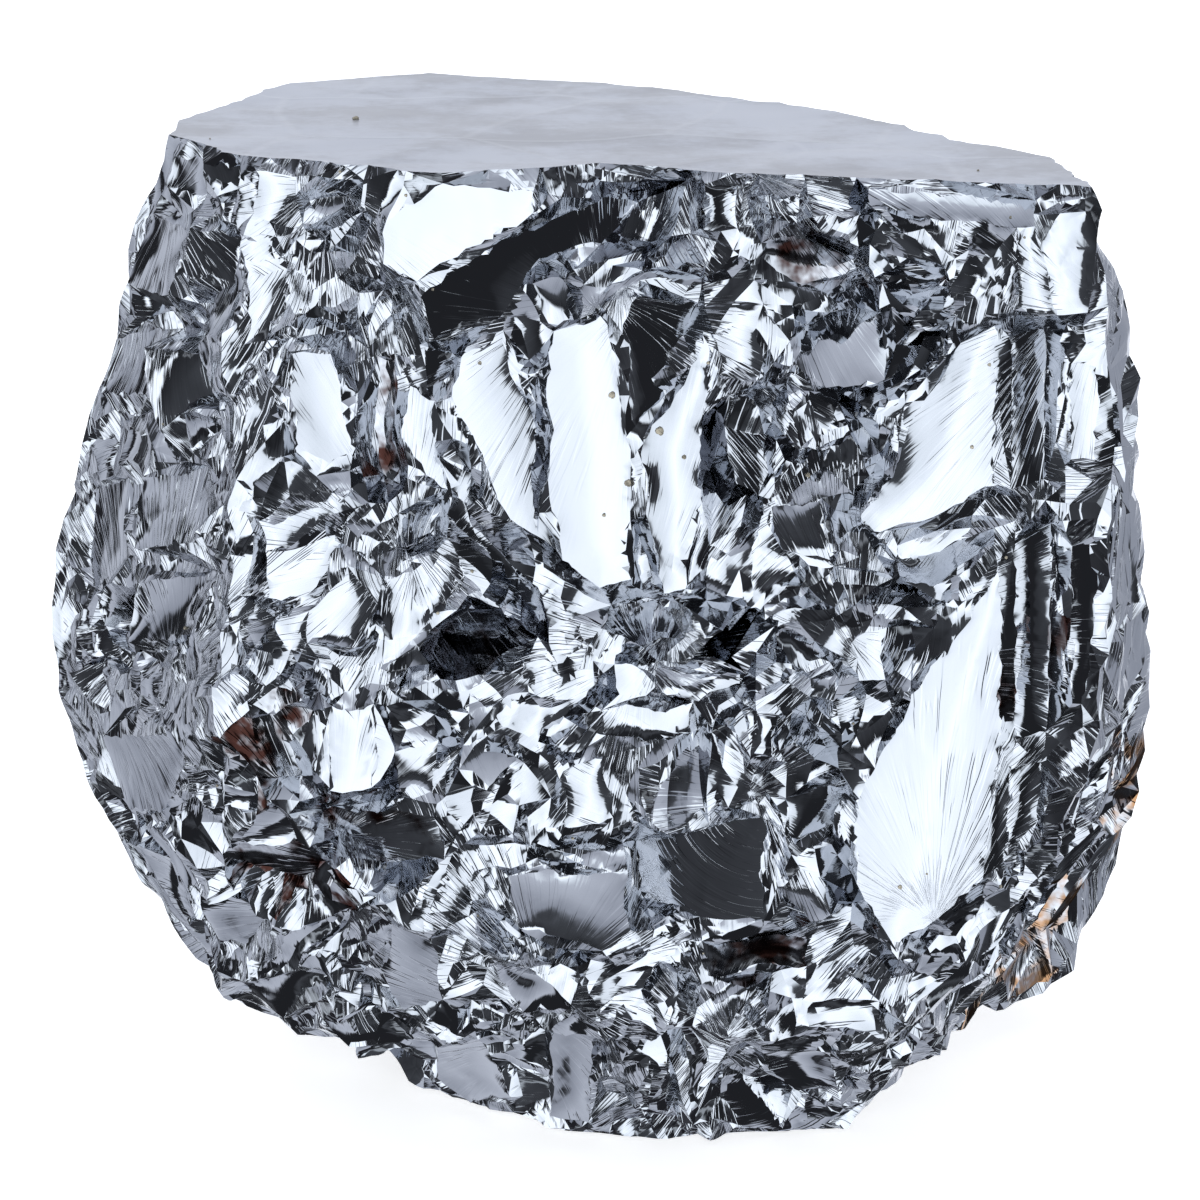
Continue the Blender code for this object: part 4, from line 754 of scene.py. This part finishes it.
    def streaks(self):
        """Where each corner of each triangle lies in the fan of its own facet or chip."""
        count = len(self.label_area)
        width = self.label_width
        across, up = sight_places(self.label_middle)
        splits = np.array(list(SPLIT_PLACES.values()))
        gaps = np.hypot(across[:, None] - splits[:, 0], up[:, None] - splits[:, 1])
        split = splits[gaps.argmin(axis=1)]
        angle = np.arctan2(up - split[:, 1], across - split[:, 0])
        angle += (label_chance(count, STREAK_SEED, 1) - 0.5) * RUN_SWING
        behind = self.label_facing[:, 1] > BEHIND_FACING
        angle = np.where(behind, label_chance(count, STREAK_SEED, 2) * 2.0 * math.pi, angle)
        run = (np.cos(angle)[:, None] * np.array((1.0, 0.0, 0.0)) + np.sin(angle)[:, None] * np.array(UPWARD))
        run -= self.label_facing * (run * self.label_facing).sum(axis=1)[:, None]
        run /= np.maximum(np.linalg.norm(run, axis=1), LEAST_LENGTH)[:, None]
        cross = np.cross(self.label_facing, run)
        chosen = width * (ROOT_START + ROOT_SPREAD * label_chance(count, STREAK_SEED, 3))
        found = np.clip(gaps.min(axis=1), ROOT_LEAST * width, ROOT_MOST)
        reach = np.where(behind, chosen, found) + ROOT_EXTRA
        root = self.label_middle - run * reach[:, None]
        likely = np.where(self.label_plain, SHELL_CHANCE, BROKEN_SHELL_CHANCE)
        shell = label_chance(count, STREAK_SEED, 4) < likely

        label = np.repeat(self.label, 3)
        away = self.moved[self.triangles.ravel()] - root[label]
        forward = (away * run[label]).sum(axis=1)
        sideways = (away * cross[label]).sum(axis=1)
        along = np.hypot(forward, sideways)
        around = np.arctan2(sideways, forward) * reach[label]
        seed = label_chance(count, STREAK_SEED, 5)[label] * STREAK_SEED_SPREAD
        swapped = shell[label]
        return np.stack((np.where(swapped, along, around), np.where(swapped, around, along), seed), axis=1)

    def on_runs(self, runs, seed):
        """Which facets and chips have their middle on one of the runs, seen from the front."""
        across, up = sight_places(self.label_middle)
        found = np.zeros(len(across), dtype=bool)
        for x1, y1, x2, y2, reach in runs.values():
            span_x, span_y = x2 - x1, y2 - y1
            share = ((across - x1) * span_x + (up - y1) * span_y) / (span_x ** 2 + span_y ** 2)
            share = np.clip(share, 0.0, 1.0)
            away = np.hypot(across - x1 - share * span_x, up - y1 - share * span_y)
            found |= away < reach * (REACH_START + REACH_SPREAD * label_chance(len(across), seed, 1))
        return found & (self.label_facing[:, 1] < SEEN_FACING)

    def tilts(self):
        """How far the fine steps on each facet rise at each corner, to lean it the way its run leans."""
        count = len(self.label_area)
        slope = np.zeros((count, 3))
        for runs, mirrored in LEANS:
            on = self.on_runs(runs, TONE_SEED) & ~self.label_top
            wanted = np.array([mirror_facing(around, rise) for around, rise in mirrored])
            own = self.label_facing[on]
            best = wanted[(own @ wanted.T).argmax(axis=1)]
            share = (own * best).sum(axis=1)
            turn = np.arccos(np.clip(share, -1.0, 1.0))
            sideways = best - own * share[:, None]
            sideways /= np.maximum(np.linalg.norm(sideways, axis=1), LEAST_LENGTH)[:, None]
            slope[on] = -sideways * np.tan(np.minimum(turn, STEEPEST_TILT))[:, None]
        label = np.repeat(self.label, 3)
        away = self.moved[self.triangles.ravel()] - self.label_middle[label]
        return (away * slope[label]).sum(axis=1)

    def ribs(self, label):
        """How strong the streaks are at each corner of each triangle."""
        width = self.label_width
        calm = np.clip(self.from_rim[self.triangles.ravel()] / (0.5 * width[label]), 0.0, 1.0)
        own = np.where(self.label_plain, np.clip(RIB_START - RIB_FALL * width, *RIB_LIMITS), RIB_BROKEN)
        own *= np.where(self.label_top, 0.0, 1.0)
        own *= np.where(self.on_runs(WHITE_RUNS, TONE_SEED), RIB_ON_WHITE, 1.0)
        own *= np.where(self.on_runs({**DARK_RUNS, **DEEP_RUNS, **PALE_RUNS}, TONE_SEED), RIB_ON_TONED, 1.0)
        return own[label] * (1.0 - RIB_CALM * calm)

    def mesh(self, materials):
        """The finished mesh, with the streaks and stains written on its corners."""
        count = len(self.triangles)
        mesh = bpy.data.meshes.new("silicon_lump")
        for material in materials:
            mesh.materials.append(material)
        mesh.vertices.add(len(self.moved))
        mesh.vertices.foreach_set("co", (self.moved * MM).astype(np.float32).ravel())
        mesh.loops.add(count * 3)
        mesh.loops.foreach_set("vertex_index", self.triangles.astype(np.int32).ravel())
        mesh.polygons.add(count)
        mesh.polygons.foreach_set("loop_start", np.arange(0, count * 3, 3, dtype=np.int32))
        mesh.polygons.foreach_set("material_index", self.label_top[self.label].astype(np.int32))
        mesh.update(calc_edges=True)
        mesh.shade_smooth()
        mesh.set_sharp_from_angle(angle=SHARP_ANGLE)

        def write(name, values, kind="FLOAT", key="value"):
            layer = mesh.attributes.new(name, kind, "CORNER")
            layer.data.foreach_set(key, np.ascontiguousarray(values, dtype=np.float32).ravel())

        label = np.repeat(self.label, 3)
        write("ribbed", self.ribs(label))
        write("streak", self.streaks(), "FLOAT_VECTOR", "vector")
        write("tilt", self.tilts())
        write("oxide", self.on_runs(STAINS, STAIN_SEED)[label])
        write("rust", self.on_runs(RUST, RUST_SEED)[label])
        mesh.validate()
        return mesh


class Nodes:
    """Short calls for the shader nodes of one material or world."""

    def __init__(self, tree):
        self.tree = tree

    def put(self, kind, settings=None, **inputs):
        """A node with its settings, whose named inputs are set or joined."""
        node = self.tree.nodes.new(kind)
        for name, value in (settings or {}).items():
            setattr(node, name, value)
        for name, value in inputs.items():
            self.give(node.inputs[name.replace("_", " ")], value)
        return node

    def give(self, socket, value):
        if isinstance(value, bpy.types.NodeSocket):
            self.tree.links.new(value, socket)
        else:
            socket.default_value = value

    def maths(self, kind, first, second=0.0):
        node = self.tree.nodes.new("ShaderNodeMath")
        node.operation = kind
        self.give(node.inputs[0], first)
        self.give(node.inputs[1], second)
        return node.outputs[0]

    def span(self, value, low, high, start=0.0, end=1.0):
        """The value spread smoothly from start to end between low and high."""
        node = self.put("ShaderNodeMapRange", {"interpolation_type": "SMOOTHSTEP"}, Value=value)
        for name, number in (("From Min", low), ("From Max", high), ("To Min", start), ("To Max", end)):
            node.inputs[name].default_value = number
        return node.outputs["Result"]

    def attribute(self, name, output="Fac"):
        node = self.put("ShaderNodeAttribute", {"attribute_name": name, "attribute_type": "GEOMETRY"})
        return node.outputs[output]

    def noise(self, vector, scale, detail=2.0, roughness=0.5):
        return self.put("ShaderNodeTexNoise", None, Vector=vector, Scale=scale, Detail=detail,
                        Roughness=roughness).outputs["Fac"]

    def blend(self, factor, first, second):
        node = self.put("ShaderNodeMix", {"data_type": "RGBA"})
        self.give(node.inputs["Factor"], factor)
        self.give(node.inputs[6], first)
        self.give(node.inputs[7], second)
        return node.outputs[2]


def new_material(name, **values):
    """A material, its node calls and its shader, on which the named values are set."""
    material = bpy.data.materials.new(name)
    material.use_nodes = True
    n = Nodes(material.node_tree)
    shader = material.node_tree.nodes["Principled BSDF"]
    for socket, value in values.items():
        shader.inputs[socket.replace("_", " ")].default_value = value
    return material, n, shader


def add_bump(n, shader, height):
    """Relief in millimetres on a shader."""
    bump = n.put("ShaderNodeBump", None, Strength=1.0, Distance=MM, Height=height)
    n.give(shader.inputs["Normal"], bump.outputs["Normal"])


def silicon_material(finish, sizes):
    """Mirror-bright silicon with streaks on its facets and oxide stains."""
    material, n, shader = new_material("silicon", Metallic=1.0)

    streak = n.put("ShaderNodeSeparateXYZ", None, Vector=n.attribute("streak", "Vector"))
    across, along, seed = streak.outputs[0], streak.outputs[1], streak.outputs[2]

    def fan(per_across, per_along, apart):
        place = n.put("ShaderNodeCombineXYZ", None, X=n.maths("MULTIPLY", across, per_across),
                      Y=n.maths("MULTIPLY", along, per_along), Z=n.maths("ADD", seed, apart))
        return place.outputs[0]

    fine = n.noise(fan(per_across=2.3, per_along=0.12, apart=0.0), scale=1.0, detail=2.0, roughness=0.55)
    wide = n.noise(fan(per_across=0.55, per_along=0.08, apart=7.3), scale=1.0, detail=1.0, roughness=0.5)
    steps = n.maths("ADD", n.span(fine, low=0.40, high=0.46),
                    n.maths("ADD", n.span(fine, low=0.52, high=0.57), n.span(fine, low=0.63, high=0.70)))
    object_place = n.put("ShaderNodeTexCoord").outputs["Object"]
    calm = n.span(n.noise(object_place, scale=230.0), low=0.40, high=0.62, start=0.12, end=1.15)
    ribbed = n.maths("MULTIPLY", n.attribute("ribbed"), calm)
    waves = n.maths("MULTIPLY", wide, sizes.wave_depth)
    ribs = n.maths("ADD", n.maths("MULTIPLY", steps, sizes.streak_depth),
                   n.maths("MULTIPLY", fine, sizes.streak_depth * FINE_SHARE))
    relief = n.maths("MULTIPLY", n.maths("ADD", waves, ribs), ribbed)
    relief = n.maths("ADD", relief, n.attribute("tilt"))

    add_bump(n, shader, relief)

    patch = n.span(n.noise(object_place, scale=520.0, detail=3.0, roughness=0.6), low=0.42, high=0.64)
    oxide = n.maths("MULTIPLY", n.attribute("oxide"), patch)
    rust = n.maths("MULTIPLY", n.attribute("rust"), patch)
    clean = (*finish.silicon_colour, 1.0)
    colour = n.blend(oxide, clean, (*finish.oxide_colour, 1.0))
    colour = n.blend(rust, colour, (*finish.rust_colour, 1.0))
    n.give(shader.inputs["Base Color"], colour)
    rough = n.maths("ADD", finish.facet_roughness, n.maths("MULTIPLY", oxide, OXIDE_ROUGHNESS))
    n.give(shader.inputs["Roughness"], rough)
    return material


def top_material(finish):
    """The flat satin top, with faint seams and worn patches."""
    material, n, shader = new_material("silicon_top", Metallic=1.0, Roughness=finish.satin_roughness)
    object_place = n.put("ShaderNodeTexCoord").outputs["Object"]
    seams = n.put("ShaderNodeTexVoronoi", {"feature": "DISTANCE_TO_EDGE"}, Scale=72.0)
    bent = n.put("ShaderNodeTexNoise", None, Vector=object_place, Scale=45.0, Detail=1.0)
    bend = n.put("ShaderNodeVectorMath", {"operation": "MULTIPLY_ADD"})
    n.give(bend.inputs[0], bent.outputs["Color"])
    bend.inputs[1].default_value = SEAM_BEND
    n.give(bend.inputs[2], object_place)
    n.give(seams.inputs["Vector"], bend.outputs[0])
    seam = n.span(seams.outputs["Distance"], low=0.0, high=0.03, start=1.0, end=0.0)
    swell = n.noise(object_place, scale=60.0, detail=2.0, roughness=0.4)
    top_relief = n.maths("ADD", n.maths("MULTIPLY", seam, SEAM_RISE), n.maths("MULTIPLY", swell, SWELL_RISE))
    add_bump(n, shader, top_relief)

    worn = n.span(n.noise(object_place, scale=90.0, detail=6.0, roughness=0.72), low=0.40, high=0.62)
    satin_tone = n.blend(worn, SATIN_CLEAR, SATIN_WORN)
    satin_tone = n.blend(n.maths("MULTIPLY", seam, SEAM_SHARE), satin_tone, SATIN_SEAM)
    n.give(shader.inputs["Base Color"], satin_tone)
    return material


def dust_material(colour):
    """Dull sandy grains."""
    material, n, shader = new_material("dust", Roughness=DUST_ROUGHNESS)
    place = n.put("ShaderNodeTexCoord").outputs["Object"]
    tone = n.span(n.noise(place, scale=2600.0, detail=3.0, roughness=0.6), low=0.35, high=0.65)
    dark = tuple(c * DUST_SHADE for c in colour)
    n.give(shader.inputs["Base Color"], n.blend(tone, (*dark, 1.0), (*colour, 1.0)))
    return material


def make_lump(scene):
    """The finished lump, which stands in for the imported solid."""
    surface = Lump(scene.lump_settings)
    finish = scene.silicon_finish
    mesh = surface.mesh((silicon_material(finish, scene.lump_settings), top_material(finish)))
    lump = bpy.data.objects.new("silicon_lump", mesh)
    scene.collection.objects.link(lump)
    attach(lump, "root")
    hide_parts(NODE)
    print("lump", len(mesh.polygons), "triangles")


def grain(shape, place, facing, size, chance):
    """One small rounded crumb, half sunk in the surface it lies on."""
    made = bmesh.ops.create_icosphere(shape, subdivisions=2, radius=size / 2.0)
    squash = chance.uniform(*GRAIN_SQUASH)
    for vert in made["verts"]:
        wave = GRAIN_WAVES[0] * vert.co.x / size + GRAIN_WAVES[1] * vert.co.y / size
        bump = 1.0 + GRAIN_BUMP * math.sin(wave + chance.random())
        vert.co *= bump
        vert.co -= facing * vert.co.dot(facing) * (1.0 - squash)
        vert.co += place + facing * size * GRAIN_RISE


def make_dust(scene):
    """Grains of dust lying where they are seen, and some more strewn over the lump."""
    lump = bpy.data.objects.get("silicon_lump")
    if lump is None:
        raise RuntimeError("the lump has to be made before its dust")
    tree = BVHTree.FromPolygons([v.co / MM for v in lump.data.vertices],
                                [tuple(p.vertices) for p in lump.data.polygons])
    chance = random.Random(STREWN_SEED)
    wanted = list(DUST)
    for _ in range(scene.dust_settings.scattered):
        wanted.append(tuple(chance.uniform(*span) for span in (STREWN_ACROSS, STREWN_UP, STREWN_SIZE)))
    shape = bmesh.new()
    for across, up, size in wanted:
        eye, ray = sight_ray(across, up)
        place, facing, _, _ = tree.ray_cast(eye, ray)
        if place is not None:
            grain(shape, place, facing, size, chance)
    bmesh.ops.scale(shape, vec=(MM, MM, MM), verts=shape.verts)
    mesh = bpy.data.meshes.new("dust_grains")
    shape.to_mesh(mesh)
    shape.free()
    mesh.shade_smooth()
    mesh.materials.append(dust_material(tuple(scene.dust_settings.colour)))
    dust = bpy.data.objects.new("dust_grains", mesh)
    scene.collection.objects.link(dust)
    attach(dust, "root")


def bands(n, value, stops, low, high):
    """A band of light colours over degrees."""
    scaled = n.put("ShaderNodeMapRange", None, Value=value)
    scaled.inputs["From Min"].default_value = math.radians(low)
    scaled.inputs["From Max"].default_value = math.radians(high)
    node = n.put("ShaderNodeValToRGB", None, Fac=scaled.outputs["Result"])
    elements = node.color_ramp.elements
    elements.remove(elements[-1])
    for i, (angle, colour) in enumerate(stops):
        place = (angle - low) / (high - low)
        element = elements[0] if i == 0 else elements.new(place)
        element.position = place
        element.color = (*(c / LIGHT_STRENGTH for c in colour), 1.0)
    return node.outputs["Color"]


def make_stage(scene):
    """A pale paper floor, soft studio light and the camera."""
    settings = scene.stage_settings
    bpy.ops.mesh.primitive_plane_add(size=settings.floor_width, location=(0, 0, -FLOOR_DROP))
    floor = bpy.context.object
    floor.name = "floor"
    floor.visible_glossy = False
    paper, _, _ = new_material("floor_paper", Base_Color=(*settings.floor_colour, 1.0),
                               Roughness=PAPER_ROUGHNESS, Emission_Color=(1.0, 1.0, 1.0, 1.0),
                               Emission_Strength=FLOOR_GLOW)
    floor.data.materials.append(paper)

    world = bpy.data.worlds.new("studio")
    scene.world = world
    world.use_nodes = True
    n = Nodes(world.node_tree)
    back = world.node_tree.nodes["Background"]
    way = n.put("ShaderNodeSeparateXYZ", None, Vector=n.put("ShaderNodeTexCoord").outputs["Generated"])
    around = n.maths("ARCTAN2", way.outputs[0], n.maths("MULTIPLY", way.outputs[1], -1.0))
    rise = n.maths("ARCSINE", way.outputs[2])
    ring = bands(n, around, AROUND_BANDS, -180, 180)
    dome = bands(n, rise, RISE_BANDS, -90, 90)
    light = n.blend(n.span(n.maths("ABSOLUTE", rise), *RING_REACH), ring, dome)
    ground = (*[1.0 / LIGHT_STRENGTH] * 3, 1.0)
    seen = n.blend(n.put("ShaderNodeLightPath").outputs["Is Camera Ray"], light, ground)
    n.give(back.inputs["Color"], seen)
    back.inputs["Strength"].default_value = LIGHT_STRENGTH

    camera = bpy.data.objects.new("camera", bpy.data.cameras.new("camera"))
    scene.collection.objects.link(camera)
    camera.location = (AIM - AHEAD * EYE_DISTANCE) * MM
    camera.rotation_euler = AHEAD.to_track_quat("-Z", "Y").to_euler()
    camera.data.lens = camera.data.sensor_width * EYE_DISTANCE * MM / settings.seen_width
    camera.data.clip_start = 0.01
    scene.camera = camera
    scene.view_settings.view_transform = "Standard"


class SILICON_OT_lump(bpy.types.Operator):
    """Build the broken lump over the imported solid"""
    bl_idname = "silicon.lump"
    bl_label = "Build Silicon Lump"

    def execute(self, context):
        make_lump(context.scene)
        return {"FINISHED"}


class SILICON_OT_dust(bpy.types.Operator):
    """Lay small grains of dust on the lump"""
    bl_idname = "silicon.dust"
    bl_label = "Lay Dust Grains"

    def execute(self, context):
        make_dust(context.scene)
        return {"FINISHED"}


class SILICON_OT_stage(bpy.types.Operator):
    """Set up the floor, the light and the camera"""
    bl_idname = "silicon.stage"
    bl_label = "Set Up Stage"

    def execute(self, context):
        make_stage(context.scene)
        return {"FINISHED"}


class SILICON_PT_panel(bpy.types.Panel):
    """Sizes, colours and steps of the silicon lump"""
    bl_idname = "SILICON_PT_panel"
    bl_label = "Raw Silicon Crystal"
    bl_space_type = "VIEW_3D"
    bl_region_type = "UI"
    bl_category = "Silicon"

    def draw(self, context):
        layout = self.layout
        scene = context.scene
        groups = ((scene.lump_settings, "silicon.lump"), (scene.silicon_finish, None),
                  (scene.dust_settings, "silicon.dust"), (scene.stage_settings, "silicon.stage"))
        for group, operator in groups:
            box = layout.box()
            for name in group.__annotations__:
                box.prop(group, name)
            if operator:
                box.operator(operator)


GROUPS = {"lump_settings": LumpSettings, "silicon_finish": SiliconFinish, "dust_settings": DustSettings,
          "stage_settings": StageSettings}
CLASSES = (*GROUPS.values(), SILICON_OT_lump, SILICON_OT_dust, SILICON_OT_stage, SILICON_PT_panel)


def register():
    for kind in CLASSES:
        bpy.utils.register_class(kind)
    for name, kind in GROUPS.items():
        setattr(bpy.types.Scene, name, PointerProperty(type=kind))


def unregister():
    for name in GROUPS:
        delattr(bpy.types.Scene, name)
    for kind in reversed(CLASSES):
        bpy.utils.unregister_class(kind)


def main():
    register()
    bpy.ops.silicon.lump()
    bpy.ops.silicon.dust()
    bpy.ops.silicon.stage()


if __name__ == "__main__":
    main()
